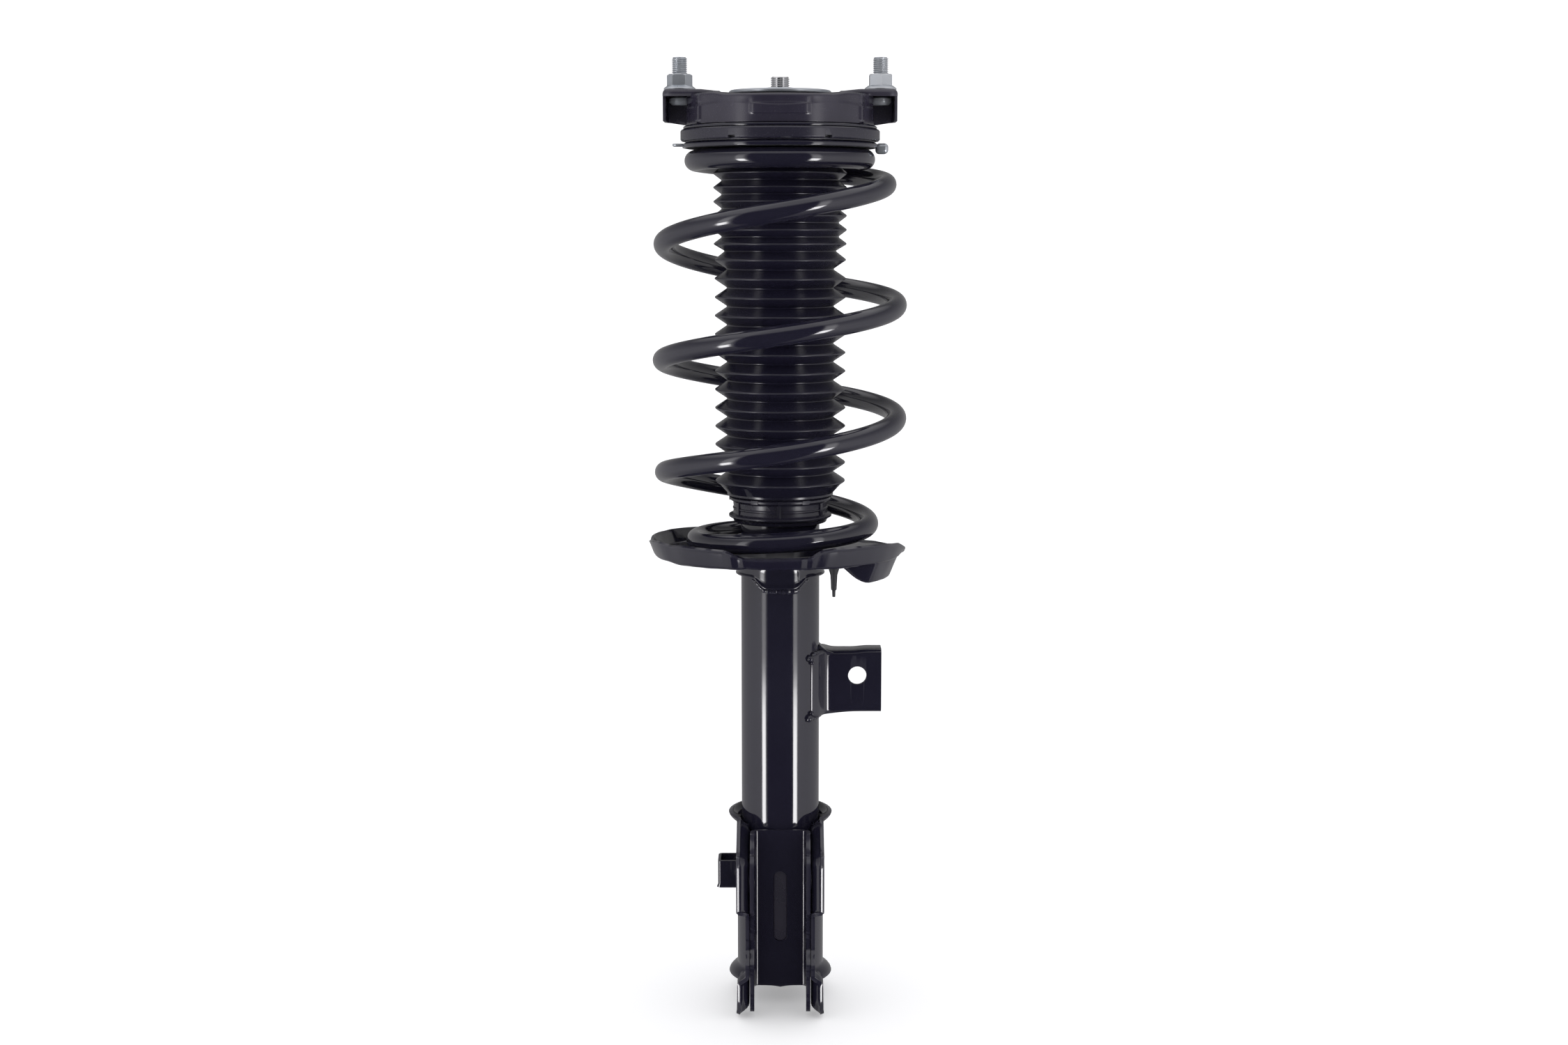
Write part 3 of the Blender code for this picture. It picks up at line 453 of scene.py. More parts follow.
# Each finish as make_finish takes it, after its name; the pair after the grain numbers gives the colour and
# strength of dust specks and of the painted edge highlight.
FINISH_TABLE = {
    "gloss_paint": ((0.0115, 0.0106, 0.0210), (0.0135, 0.0128, 0.0240), 0.0,
                    (0.07, 0.12), (420.0, 0.0012, 0.05), (PAINT_DUST_AND_EDGE_LIGHT, 0.30), 0.35),
    "satin_paint": ((0.0225, 0.0195, 0.034), (0.031, 0.0275, 0.045), 0.0,
                    (0.20, 0.30), (900.0, 0.016, 0.16), (PAINT_DUST_AND_EDGE_LIGHT, 0.85)),
    "boot_rubber": ((0.0105, 0.0096, 0.0205), (0.0130, 0.0120, 0.0240), 0.0,
                    (0.17, 0.26), (1100.0, 0.010, 0.10), (RUBBER_DUST_AND_EDGE_LIGHT, 0.80)),
    "soft_rubber": ((0.014, 0.014, 0.018), (0.020, 0.020, 0.025), 0.0,
                    (0.55, 0.72), (1300.0, 0.030, 0.10), (RUBBER_DUST_AND_EDGE_LIGHT, 0.50)),
    "zinc_plate": ((0.37, 0.40, 0.44), (0.46, 0.48, 0.51), 0.60,
                   (0.24, 0.36), (1600.0, 0.008, 0.03), (METAL_DUST_AND_EDGE_LIGHT, 0.60)),
    "chromed_rod": ((0.66, 0.66, 0.67), (0.72, 0.72, 0.73), 1.0,
                    (0.08, 0.16), (2200.0, 0.004, 0.01), (METAL_DUST_AND_EDGE_LIGHT, 0.40), 0.0, (1, 1, 6)),
    "bare_steel": ((0.42, 0.42, 0.43), (0.52, 0.52, 0.53), 0.9,
                   (0.22, 0.36), (1800.0, 0.010, 0.02), (METAL_DUST_AND_EDGE_LIGHT, 0.40), 0.0, (1, 1, 5)),
    "sintered_iron": ((0.22, 0.22, 0.23), (0.30, 0.30, 0.31), 1.0,
                      (0.45, 0.62), (1500.0, 0.040, 0.03), (METAL_DUST_AND_EDGE_LIGHT, 0.30)),
    "black_plastic": ((0.0165, 0.0150, 0.027), (0.0215, 0.0200, 0.034), 0.0,
                      (0.22, 0.32), (1000.0, 0.012, 0.06), (RUBBER_DUST_AND_EDGE_LIGHT, 0.70)),
    "cream_plastic": ((0.62, 0.55, 0.40), (0.70, 0.64, 0.48), 0.0,
                      (0.45, 0.60), (900.0, 0.030, 0.06), ((0.80, 0.76, 0.64), 0.40)),
}
FINISHES = {name: make_finish(name, *looks) for name, looks in FINISH_TABLE.items()}


# ---- fasteners

THREAD_PITCH = 1.25
NUT_TURNS = {"left": 28, "right": 2}      # how each nut came to rest


def threaded_mesh(major, top, bottom, centre_x=0.0, chamfer=0.9):
    """A screw thread with a chamfered top; its rows follow the pitch."""
    columns = 40
    depth = 0.61 * THREAD_PITCH
    rows = int((top - bottom) / THREAD_PITCH * 8)
    rings = []
    for row in range(rows + 1):
        z = bottom + (top - bottom) * row / rows
        ring = []
        for k in range(columns):
            phase = (z / THREAD_PITCH - k / columns) % 1.0
            crest = 1 - smooth_step(abs(phase - 0.5) * 2, 0.12, 0.88)
            radius = major - depth * (1 - crest)
            radius = min(radius, major - chamfer + (top - z) * 1.1)
            a = 2 * pi * k / columns
            ring.append((centre_x + radius * cos(a), radius * sin(a), z))
        rings.append(ring)
    return loft_mesh(rings)


def nut_mesh(across_flats, bore, low, high, centre_x=0.0, flange=None):
    """A hexagon nut with chamfered corners; flange is its (radius, height) if it has one."""
    columns = 96
    angles = [2 * pi * k / columns for k in range(columns)]
    half = across_flats / 2
    heights = [low, low + 0.25, low + 0.7]
    heights += [low + 0.7 + (high - low - 0.7) * k / 22 for k in range(1, 23)]
    rings = []
    for z in heights:
        ring = []
        for a in angles:
            off_flat = (a + pi / 6) % (pi / 3) - pi / 6
            reach = half / cos(off_flat)
            reach = min(reach, half * 0.96 + (high - z) * 1.9)
            if flange:
                radius, height = flange
                cone = radius - 0.35 if z == low else radius
                cone -= max(0.0, z - low - 0.9) * 1.35
                cone -= max(0.0, z - low - height) * 8.0
                reach = max(reach, cone)
            ring.append((centre_x + reach * cos(a), reach * sin(a), z))
        rings.append(ring)
    for radius, z in ((bore + 0.9, high), (bore, high - 0.9), (bore, low + 0.9), (bore + 0.9, low)):
        rings.append([(centre_x + radius * cos(a), radius * sin(a), z) for a in angles])
    return loft_mesh(rings, capped=False, looped=True)


def build_fasteners():
    """Threaded studs with pressed heads, flanged nuts, the rod nut and the dished zinc disc."""
    for side, label in ((-1, "left"), (1, "right")):
        x = side * STUD_OFFSET
        stud = new_object(f"stud_{label}_fine", threaded_mesh(4.85, 20.4, -3.5, x))
        head = filleted([(0, -3.4), (6.8, -3.4), (6.8, -6.2), (5.0, -7.9), (0, -8.0)], 0.8, closed=False)
        head_mesh = turned_mesh(head, 48, closed=False)
        head_mesh.transform(Matrix.Translation((x * MM, 0, -1.3 * MM)))
        combine(stud, [head_mesh], "UNION")
        finish_piece(stud, MOUNT, "zinc_plate", smooth=50)
        nut = new_object(f"nut_{label}_fine", nut_mesh(14.0, 4.9, 0.3, 10.0, x, (10.1, 2.6)))
        turn = Matrix.Rotation(radians(NUT_TURNS[label]), 4, "Z")
        to_stud = Matrix.Translation((x * MM, 0, 0))
        nut.data.transform(to_stud @ turn @ to_stud.inverted())
        finish_piece(nut, MOUNT, "zinc_plate", smooth=28)

    disc = [(15.0, -6.9, 2.5), (21.0, -0.2, 2.5), (31.4, -0.2, 1.0), (32.3, -0.9, 0.5), (32.3, -2.1, 0.5),
            (31.7, -2.7, 0.5), (23.2, -2.7, 2.5), (16.8, -9.4, 2.5), (6.4, -9.4, 0.3), (6.4, -6.9, 0.3)]
    turned_piece("rebound_washer", disc, MOUNT, "zinc_plate", steps=128)
    nut = new_object("rod_nut_fine", nut_mesh(17.0, 6.05, -6.6, 1.6))
    finish_piece(nut, MOUNT, "zinc_plate", smooth=28)

    rod = new_object("piston_rod_fine", threaded_mesh(5.95, 8.2, -27.2, chamfer=0.7))
    shaft = filleted([(0, -27.0), (11.0, -27.4), (11.0, -300.0), (6.0, -300.0), (6.0, -331.0),
                      (0, -331.0)], 0.5, closed=False)
    socket = cylinder_mesh(2.9, 6.0, (0, 0, 6.2), segments=6)
    combine(rod, [turned_mesh(shaft, 96, closed=False)], "UNION")
    combine(rod, [socket], "DIFFERENCE")
    finish_piece(rod, MOUNT, "chromed_rod", smooth=50)


# ---- mount

CUP_RADIUS = 60.0
EAR_BOX_BOTTOM = (-21.9, -19.6)      # at the inner and the outer end of the ear's lower edge
# Section of an ear's rolled edge as (distance in from the outline, height), from below to the top.
EAR_EDGE = ((2.9, -2.0), (2.3, -2.3), (2.1, -2.9), (2.1, -4.2), (1.8, -4.5), (0.4, -4.5), (0.0, -4.2),
            (0.0, -2.4), (0.4, -1.1), (1.2, -0.35), (2.8, 0.0))
EAR_FLAT = (0.8, 0.55, 0.3)          # rows of points on its faces, as shares of the way to its middle


def cup_shape(angle, r, z):
    """Pressed relief of the cup: a shallow raised panel, a soft crease and the corners at the ears."""
    front = abs(angle_between(angle, 270))
    back = abs(angle_between(angle, 90))
    near = min(front, back)
    z -= 1.6 * window(near, 0, 33, 12) * smooth_step(r, 33.0, 44.0) * smooth_step(z, -12.0, -8.0)
    wall = smooth_step(r, 54.0, 59.0)
    panel = 0.7 * window(near, 0, 16.5, 1.2) * window(z, -13.6, 3.0, 0.8)
    strip = 1.3 * window(near, 59.0, 2.4, 0.9) * window(z, -13.5, 7.0, 1.5)
    crease = -0.5 * window(z, -9.5 + 1.2 * sin(radians(angle * 5)), 0.5, 1.4)
    flat = -0.8 * window(near, 70, 8, 6)
    return r + wall * (panel + strip + crease + flat) - 0.9 * wall, z


def ear_outline():
    """Plan of the right ear from the cup outwards: straight sides, rounded corners, wider at the cup."""
    side = [(34.0, 21.5), (40.0, 20.0), (46.0, 17.6, 6.0), (73.6, 17.0, 7.0)]
    points = filleted(side + [(x, -y, *more) for x, y, *more in reversed(side)], 0.0, steps=8)
    fine = []
    for i, point in enumerate(points):
        after = Vector(points[(i + 1) % len(points)])
        here = Vector(point)
        pieces = max(1, int((after - here).length / 1.5))
        fine += [here.lerp(after, k / pieces) for k in range(pieces)]
    return fine


def ear_mesh(side):
    """One ear: flat round the stud, stepping down to the cup, with its edges rolled down."""
    outline = ear_outline()
    count = len(outline)
    inward = []
    for i in range(count):
        along = (outline[(i + 1) % count] - outline[i - 1]).normalized()
        inward.append(Vector((along.y, -along.x)))
    section = [(share, -2.0, True) for share in EAR_FLAT]
    section += [(inset, drop, False) for inset, drop in EAR_EDGE]
    section += [(share, 0.0, True) for share in reversed(EAR_FLAT)]
    rings = []
    spine = [Vector((min(max(p.x, 38.0), 66.0), 0.0)) for p in outline]
    for inset, drop, flat in section:
        ring = []
        for p, n, core in zip(outline, inward, spine):
            spot = (p + n * 2.9).lerp(core, inset) if flat else p + n * inset
            step = 1.3 * (1 - smooth_step(p.x, 38.5, 51.0)) + 1.9 * (1 - smooth_step(p.x, 35.5, 38.5))
            ring.append((side * spot.x, spot.y, drop - 0.02 - step))
        rings.append(ring)
    ends = [[(side * c.x, 0.0, p[2]) for c, p in zip(spine, ring)] for ring in (rings[0], rings[-1])]
    return loft_mesh([ends[0], *rings, ends[1]], capped=False, weld=0.02)


def ear_box_mesh(side):
    """The ear's outer and back wall in one bent strip, lower at its inner end."""
    path = filleted([(72.5, -13.0), (72.5, 12.0, 4.0), (56.0, 12.0)], 0.0, closed=False, steps=6)

    def place(u, v):
        x, y = point_on(path, u)
        inner, outer = EAR_BOX_BOTTOM
        bottom = inner + (outer - inner) * smooth_step(x, 57.0, 72.0)
        return (side * x, y, -2.4 + (bottom + 2.4) * v)
    return grid_mesh(place, len(path) - 1, 4)


def solid_sheet(mesh, thickness):
    """Turn a surface mesh into a closed sheet mesh."""
    piece = sheet_piece("sheet", mesh, thickness)
    settle(piece)
    solid = piece.data
    bpy.data.objects.remove(piece, do_unlink=True)
    return solid


def build_mount():
    """The pressed cup with its two ears, the closing plate, the rubber and the sleeve."""
    bend = 5.0
    top, bottom = -3.2, -22.2
    outer, inner = CUP_RADIUS, CUP_RADIUS - 2.5
    profile = [(26.0, top, 0.8), (outer, top, bend)]
    profile += [(outer, top - bend - 0.7 * k, 0) for k in range(1, 19)]
    profile += [(outer, bottom, 0.8), (inner, bottom, 0.8), (inner, top - 2.5, bend - 2.0),
                (26.0, top - 2.5, 0.8)]
    plate = new_object("mount_upper_plate_fine",
                       turned_mesh(filleted(profile, 0.4, steps=6), 300, True, cup_shape))
    shells = []
    for side in (-1, 1):
        shells.append(ear_mesh(side))
        shells.append(solid_sheet(ear_box_mesh(side), 1.7))
    combine(plate, shells, "UNION")
    holes = [cylinder_mesh(5.1, 12, (s * STUD_OFFSET, 0, -2)) for s in (-1, 1)]
    combine(plate, holes, "DIFFERENCE")
    add_bevel(plate, 0.5, 2)
    finish_piece(plate, MOUNT, "satin_paint", smooth=40)

    closing = [(36.0, -20.2), (41.0, -22.5), (60.6, -22.5, 0.3), (61.2, -23.0, 0.6), (61.2, -24.3, 0.5),
               (40.3, -24.3), (35.3, -22.0), (28.5, -22.0), (28.5, -20.2)]
    turned_piece("mount_lower_plate", closing, MOUNT, "gloss_paint", steps=160)
    rubber = [(22.5, -6.0), (53.8, -6.0), (57.1, -9.3), (57.1, -22.1), (41.6, -22.1), (36.4, -19.8),
              (10.4, -19.8), (10.4, -9.8), (18.2, -9.8)]
    turned_piece("mount_rubber", rubber, MOUNT, "soft_rubber", 1.0)
    sleeve = [(10.0, -9.7), (10.0, -24.8), (22.0, -24.8), (22.0, -27.1), (6.35, -27.1), (6.35, -9.7)]
    turned_piece("mount_inner_sleeve", sleeve, MOUNT, "bare_steel")


# ---- bearing and upper seat

def build_bearing_and_seat():
    """Ring of the bearing with its notches, the lower cap, the seat plate with tabs and its rubber."""
    ring = [(36.0, -24.6), (62.2, -24.6, 0.8), (63.0, -25.6, 0.8), (63.0, -30.9, 0.6), (62.2, -31.8, 0.6),
            (60.5, -31.8), (60.5, -26.5), (38.0, -26.5), (38.0, -30.4), (36.0, -30.4)]
    cap = new_object("bearing_upper_cap_fine", turned_mesh(filleted(ring, 0.3), 180))
    notches = []
    for i in range(4):
        angle = -118 + 56 * (i % 2) + 180 * (i // 2)
        ends = (angle - 2.2, angle + 2.2)
        notches.append(curved_block(59.5, 65.0, *ends, -33.0, -29.9, 0.2))
    combine(cap, notches, "DIFFERENCE")
    finish_piece(cap, MOUNT, "black_plastic")
    race = [(38.5, -31.1), (59.9, -31.1), (59.9, -32.6), (38.5, -32.6)]
    turned_piece("bearing_lower_cap", race, SEAT, "black_plastic", 0.3, 160)
    seal = [(57.4, -27.0), (59.8, -27.0), (59.4, -30.8), (55.5, -30.8)]
    turned_piece("bearing_seal", seal, SEAT, "soft_rubber", 0.3, 120)

    plate = [(34.0, -32.9), (60.6, -32.9, 0.7), (61.8, -34.0, 0.9), (61.8, -36.0, 0.5), (60.1, -36.0, 0.4),
             (60.1, -34.9, 0.3), (34.0, -34.9)]
    turned_piece("upper_spring_seat", plate, SEAT, "gloss_paint", steps=180)
    tabs = {"seat_tab_left": block_mesh((-68.0, -6.8, -34.9), (-59.9, 6.8, -33.3), 0.6, 3.0),
            "seat_tab_right": block_mesh((60.3, -5.8, -39.6), (68.3, 5.8, -33.0), 2.4, 2.6)}
    for name, mesh in tabs.items():
        finish_piece(new_object(name, mesh), SEAT, "zinc_plate")
    pad = [(43.8, -35.2), (59.7, -35.2), (59.7, -36.3), (46.7, -36.3), (46.7, -45.0), (43.8, -45.0)]
    turned_piece("upper_insulator", pad, SEAT, "soft_rubber", 0.5, 128)


# ---- spring and boot

# Stations of the spring as (turn angle, value); angle 0 is where the bottom coil passes +X.
COIL_HEIGHTS = ((-290, -286.9), (-235, -286.7), (-180, -286.0), (-90, -280.2), (0, -275.6), (90, -265.4),
                (180, -242.4), (270, -222.6), (360, -206.3), (450, -191.9), (540, -170.4), (630, -150.4),
                (720, -133.9), (810, -119.2), (900, -96.8), (990, -75.9), (1080, -57.8), (1170, -47.6),
                (1260, -43.9), (1350, -43.1), (1452, -43.0))
COIL_RADII = ((-290, 54.4), (-180, 54.6), (-90, 54.8), (0, 57.2), (90, 66.5), (180, 74.5), (360, 74.7),
              (540, 75.3), (720, 74.5), (900, 74.2), (1080, 67.1), (1170, 58.4), (1260, 54.2), (1452, 53.7))


def coil_point(turn):
    """Centre of the spring wire at a turn angle in degrees."""
    return Vector(polar(smooth_curve(COIL_RADII, turn), turn, smooth_curve(COIL_HEIGHTS, turn)))


def flatten_with_stroke(piece):
    """Give a piece that hangs from the upper seat a mesh of its own."""
    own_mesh(piece)


def build_spring():
    """Round wire wound right-handed, with both end coils drawn in and its ends cut square."""
    start, end = COIL_HEIGHTS[0][0], COIL_HEIGHTS[-1][0]
    path = [coil_point(start + (end - start) * k / 520) for k in range(521)]

    def bar(t):
        edge = min(t, 1 - t) * (end - start)
        return WIRE_RADIUS - 0.6 * (1 - smooth_step(edge, 0.0, 0.8))
    spring = new_object("coil_spring_fine", swept_mesh(path, 28, bar))
    finish_piece(spring, SEAT, "gloss_paint", smooth=50)
    flatten_with_stroke(spring)


def build_boot():
    """Folded boot: a collar, six shallow folds and thirteen deep ones, all slightly uneven."""
    line = [(43.2, -35.3, 0.4), (43.2, -46.5, 0.8), (38.0, -47.6, 0.8)]
    for i in range(6):
        ridge = -51.7 - 8.84 * i
        line += [(42.9, ridge, 0.9), (37.0, ridge - 4.4, 0.8)]
    line[-1] = (35.3, -100.4, 0.6)
    for i in range(13):
        ridge = -106.0 - 11.78 * i
        line += [(42.4, ridge, 0.9), (33.7, ridge - 5.9, 0.8)]
    line[-1] = (34.2, -252.6, 0.8)
    line += [(34.2, -256.5, 0.5), (32.7, -256.5, 0.4)]
    inner = [(r - 1.3, z) for r, z, *_ in reversed(line[3:-3])]
    line += inner + [(36.5, -47.0, 0.8), (41.7, -46.0, 0.8), (41.7, -35.3, 0.4)]

    def shape(angle, r, z):
        ripple = 0.10 * noise.noise(Vector((cos(radians(angle)) * 2.2,
                                            sin(radians(angle)) * 2.2, z * 0.09)))
        return r + ripple, z + 0.9 * ripple
    mesh = turned_mesh(filleted(line, 0.4, steps=4), 128, True, shape)
    boot = new_object("dust_boot_fine", mesh)
    finish_piece(boot, SEAT, "boot_rubber", smooth=60)
    flatten_with_stroke(boot)


# ---- tube and cap

def build_tube_and_cap():
    """Drawn tube with its pressed base, and the plastic cap with beads and clip ribs."""
    tube = [(23.2, -261.0), (25.4, -261.0), (25.4, -576.0, 0.4), (24.9, -577.0, 0.4), (23.2, -577.0)]
    turned_piece("outer_tube", tube, STRUT, "gloss_paint", 0.4, 160)
    base = [(0, -570.5), (15.0, -570.0), (22.9, -568.0), (22.9, -576.6, 1.2), (15.0, -578.6, 4.0),
            (0, -579.4)]
    turned_piece("tube_base", base, STRUT, "gloss_paint", 0.8, 128, closed=False)

    fit, bore = TUBE_RADIUS + 0.35, 12.0
    profile = [(bore, -256.9), (31.3, -256.9, 0.5), (32.7, -257.8, 0.5), (32.7, -259.3, 0.5),
               (30.5, -260.7, 0.6), (30.2, -264.0, 0.4), (30.7, -264.5, 0.2), (30.7, -265.2, 0.2),
               (30.2, -265.7, 0.4), (30.5, -268.1, 0.5), (33.2, -269.1, 0.5), (33.2, -270.4, 0.6),
               (30.6, -271.8, 0.8), (29.8, -274.0, 0.8), (fit, -274.0), (fit, -260.0), (bore, -260.0)]
    cap = new_object("strut_cap_fine", turned_mesh(filleted(profile, 0.3), 160))
    ribs = []
    for k in range(6):
        angle = 240 + 60 * k
        ribs.append(curved_block(29.5, 33.0, angle - 4.5, angle + 4.5, -259.9, -257.3))
        ribs.append(curved_block(29.5, 31.1, angle + 26, angle + 31, -268.4, -260.4))
    combine(cap, ribs, "UNION")
    finish_piece(cap, STRUT, "black_plastic", smooth=32)


# ---- lower spring seat

PAN_FLOOR = -295.3
# Rim height of the pan round the strut, as (angle from +X, height).
PAN_RIM = ((0, -292.0), (20, -294.8), (48, -295.0), (90, -291.5), (140, -285.6), (165, -284.6),
           (180, -286.4), (195, -284.6), (221, -283.4), (240, -283.6), (246, -285.4), (251, -288.8),
           (256, -289.0), (281, -288.8), (286, -287.4), (292, -283.6), (299, -282.8), (317, -282.6),
           (340, -284.8), (352, -288.8), (360, -292.0))
TAIL_POINT = (33.8, -46.0)       # where the rubber's tail hangs through the pan
RECESS_DEPTH = 38.0      # how far forward the flat front of the pocket stands


def pan_radius(angle):
    """Mid-sheet radius of the pan's rim, wider to each side and set back across the front."""
    side = cos(radians(angle))
    reach = 68.6 + (11.2 if side > 0 else 14.9) * abs(side) ** 1.5
    dent = 3.6 * sector(angle, 266, 15, 5)
    return reach - dent + 1.0 * sector(angle, 246, 1.5, 3.5)


def pan_line(angle):
    """Radial line of the pan at an angle: neck, floor, and the leaning wall up to the rolled rim."""
    reach = pan_radius(angle)
    rim = smooth_curve(PAN_RIM, angle % 360)
    pocket = 12.6 * sector(angle, 337, 11, 12)
    drop = PAN_FLOOR - pocket
    lean = 4.6 - 1.8 * sector(angle, 267, 14, 8)
    foot = reach - lean - 0.8 - 0.3 * pocket
    recess = 0.0
    if 290 < angle % 360 < 345 and pocket > 0.05:
        recess = max(0.0, foot - RECESS_DEPTH / sin(radians(360 - angle % 360)))
    inner = min(0.76 * reach, foot - recess - 4.0)
    return [(29.4, -284.6), (29.7, -290.5, 1.0), (32.0, PAN_FLOOR, 2.5),
            (min(46.0, inner - 6.0), PAN_FLOOR, 3.0), (inner - 2.0, PAN_FLOOR - 0.25 * pocket, 4.0),
            (foot - recess - 2.5, drop + 0.1 * pocket, 3.0), (foot - recess, drop, 2.0),
            (reach - 0.9 * lean - recess, PAN_FLOOR + 0.4, 0.8), (reach - 0.6 * lean, PAN_FLOOR + 1.2, 1.0),
            (reach - 0.3, rim - 1.8, 1.6), (reach + 0.5, rim, 0.5)]


def build_pan():
    """Pressed pan with its kinks, deep pocket, drain notches and rolled rim."""
    columns = 300
    lines = [filleted(pan_line(360.0 * k / columns), 0.8, closed=False, steps=4) for k in range(columns)]
    rows = len(lines[0]) - 1

    def place(u, v):
        k = round(u * columns) % columns
        r, z = lines[k][round(v * rows)]
        angle = 360.0 * k / columns
        crumpled = 0.40 + 0.60 * sector(angle, 190, 18, 14)
        dimple = crumpled * noise.noise(Vector((r * 0.11, angle * 0.14, z * 0.1)))
        return polar(r + dimple * smooth_step(r, 60, 66), angle, z + dimple * smooth_step(r, 40, 50))
    pan = sheet_piece("lower_spring_seat_fine", grid_mesh(place, columns, rows, wrap=True), 2.0)
    add_bevel(pan, 0.7)
    cuts = [cylinder_mesh(4.2, 12, (*TAIL_POINT, PAN_FLOOR))]
    for angle in (199, 209, 219):
        x, y, z = polar(pan_radius(angle) - 3.9, angle, -296.2)
        cuts.append(cylinder_mesh(2.1, 4.4, (x, y, z), segments=20))
    for angle in (35, 150):
        x, y, z = polar(50.0, angle, PAN_FLOOR)
        cuts.append(cylinder_mesh(3.0, 8.0, (x, y, z)))
    combine(pan, cuts, "DIFFERENCE")
    finish_piece(pan, STRUT, "gloss_paint", smooth=45)


def build_lower_insulator():
    """Rubber wedge under the last coil, with its stepped tail hanging through the pan."""
    start, end = COIL_HEIGHTS[0][0] + 6, -46.0
    steps = 90
    base = PAN_FLOOR + 1.3
    lowest = COIL_HEIGHTS[0][1] - WIRE_RADIUS
    rings = []
    for k in range(steps + 1):
        turn = start + (end - start) * k / steps
        centre = coil_point(turn)
        reach = hypot(centre.x, centre.y)
        underside = centre.z - WIRE_RADIUS
        top = max(underside - 0.4 - 0.6 * (underside - lowest), base + 0.3)
        low, high = reach - 4.6, reach + 4.2
        ring = filleted([(low, base), (high, base), (high + 0.2, top), (low - 0.2, top)], 0.25, steps=2)
        rings.append([polar(r, turn, z) for r, z in ring])
    wedge = new_object("lower_insulator_fine", loft_mesh(rings))
    tail = filleted([(0, -293.4), (3.6, -293.4), (3.5, -297.6, 1.0), (2.2, -302.0, 3.0),
                     (1.75, -311.2, 0.3), (1.1, -311.9, 0.2), (0.95, -315.9, 0.3), (0, -316.2)],
                    0.3, closed=False)
    tail_mesh = turned_mesh(tail, 40, closed=False)
    tail_mesh.transform(Matrix.Translation((TAIL_POINT[0] * MM, TAIL_POINT[1] * MM, 0)))
    combine(wedge, [tail_mesh], "UNION")
    finish_piece(wedge, STRUT, "soft_rubber")


COLLAR_TOP = -297.0


def collar_edge(angle):
    """Height of the collar's lower edge: level round the back, dipping in a tongue at the front."""
    return -308.2 - 6.4 * sector(angle, 270, 19, 22)


def build_collar():
    """Support collar with its tongue, and the weld run that follows its edge."""
    def place(u, v):
        angle = 360.0 * u
        bottom = collar_edge(angle)
        height = COLLAR_TOP + (bottom - COLLAR_TOP) * v
        flare = 1.3 * (1 - smooth_step(v, 0.0, 0.35)) + 1.0 * smooth_step(v, 0.8, 1.0)
        return polar(27.0 + flare, angle, height)
    collar = sheet_piece("seat_collar_fine", grid_mesh(place, 160, 14, wrap=True), 2.4)
    finish_pressing(collar, 0.7)
    angles = [228 + 84 * k / 70 for k in range(71)]
    add_bead("collar_weld_front", [polar(26.6, a, collar_edge(a) - 1.4) for a in angles], 1.7, 1)
    path = [polar(26.4, 40 + 100 * k / 70, collar_edge(90) - 1.2) for k in range(71)]
    add_bead("collar_weld_back", path, 1.5, 2)


# ---- knuckle bracket

CLEVIS_WRAP_RADIUS = TUBE_RADIUS + 1.7
EAR_OFFSET = 21.05
INNER_OFFSET = 18.05
KNUCKLE_HOLES = ((-41.0, -501.0), (-41.0, -561.0))


def ear_front(height):
    """How far forward the ears reach at a height: two lobes round the bolt holes."""
    upper = 56.0 - 8.5 * smooth_step(-height, 519.5, 525.0)
    lower = 9.5 * smooth_step(-height, 545.0, 556.0)
    rounding = 4.0 * smooth_step(-height, 578.0, 588.0) + 4.0 * smooth_step(height, -490.0, -482.0)
    return upper + lower - rounding


def lip_offset(from_edge, reach=6.0, width=7.5):
    """How far the rolled lip stands out at a distance from the sheet's edge."""
    return reach * (1 - smooth_step(from_edge, 0.0, width)) ** 1.2


def mirrored(half_place, columns, rows):
    """Grid of a whole sheet whose right half is half_place(u, v), with u from the middle outwards."""
    def place(u, v):
        t = 2 * u - 1
        x, y, z = half_place(abs(t), v)
        return (copysign(x, t) if t else 0.0, y, z)
    return grid_mesh(place, 2 * columns, rows)


def outer_half(u, v):
    """Right half of the outer plate: round the back of the tube, then straight along the ear."""
    wrap = 0.5
    share = max(0.0, (u - wrap) / (1 - wrap))
    top = -466.5 - 15.5 * smooth_step(share, 0.0, 1.0) - 1.0 * min(u / wrap, 1.0)
    bottom = -577.0 - 12.3 * smooth_step(share, 0.0, 0.8)
    bottom += 3.0 * smooth_step(share, 0.86, 1.0) ** 2
    height = top + (bottom - top) * v
    lip = max(lip_offset(top - height), lip_offset(height - bottom))
    last_angle = acos(EAR_OFFSET / CLEVIS_WRAP_RADIUS)
    if u <= wrap:
        a = pi / 2 - (pi / 2 + last_angle) * u / wrap
        radius = CLEVIS_WRAP_RADIUS + 0.95 * lip
        return (radius * cos(a), radius * sin(a), height)
    start = -CLEVIS_WRAP_RADIUS * sin(last_angle)
    front = -ear_front(height)
    y = start + (front - start) * share
    upper_lip = smooth_step(height, -521.6, -519.4)
    lower_lip = 0.9 * smooth_step(-height, 562.0, 567.0)
    lip = max(lip, max(upper_lip, lower_lip) * lip_offset(abs(y - front), 6.0, 7.0))
    return (EAR_OFFSET + lip, y, height)


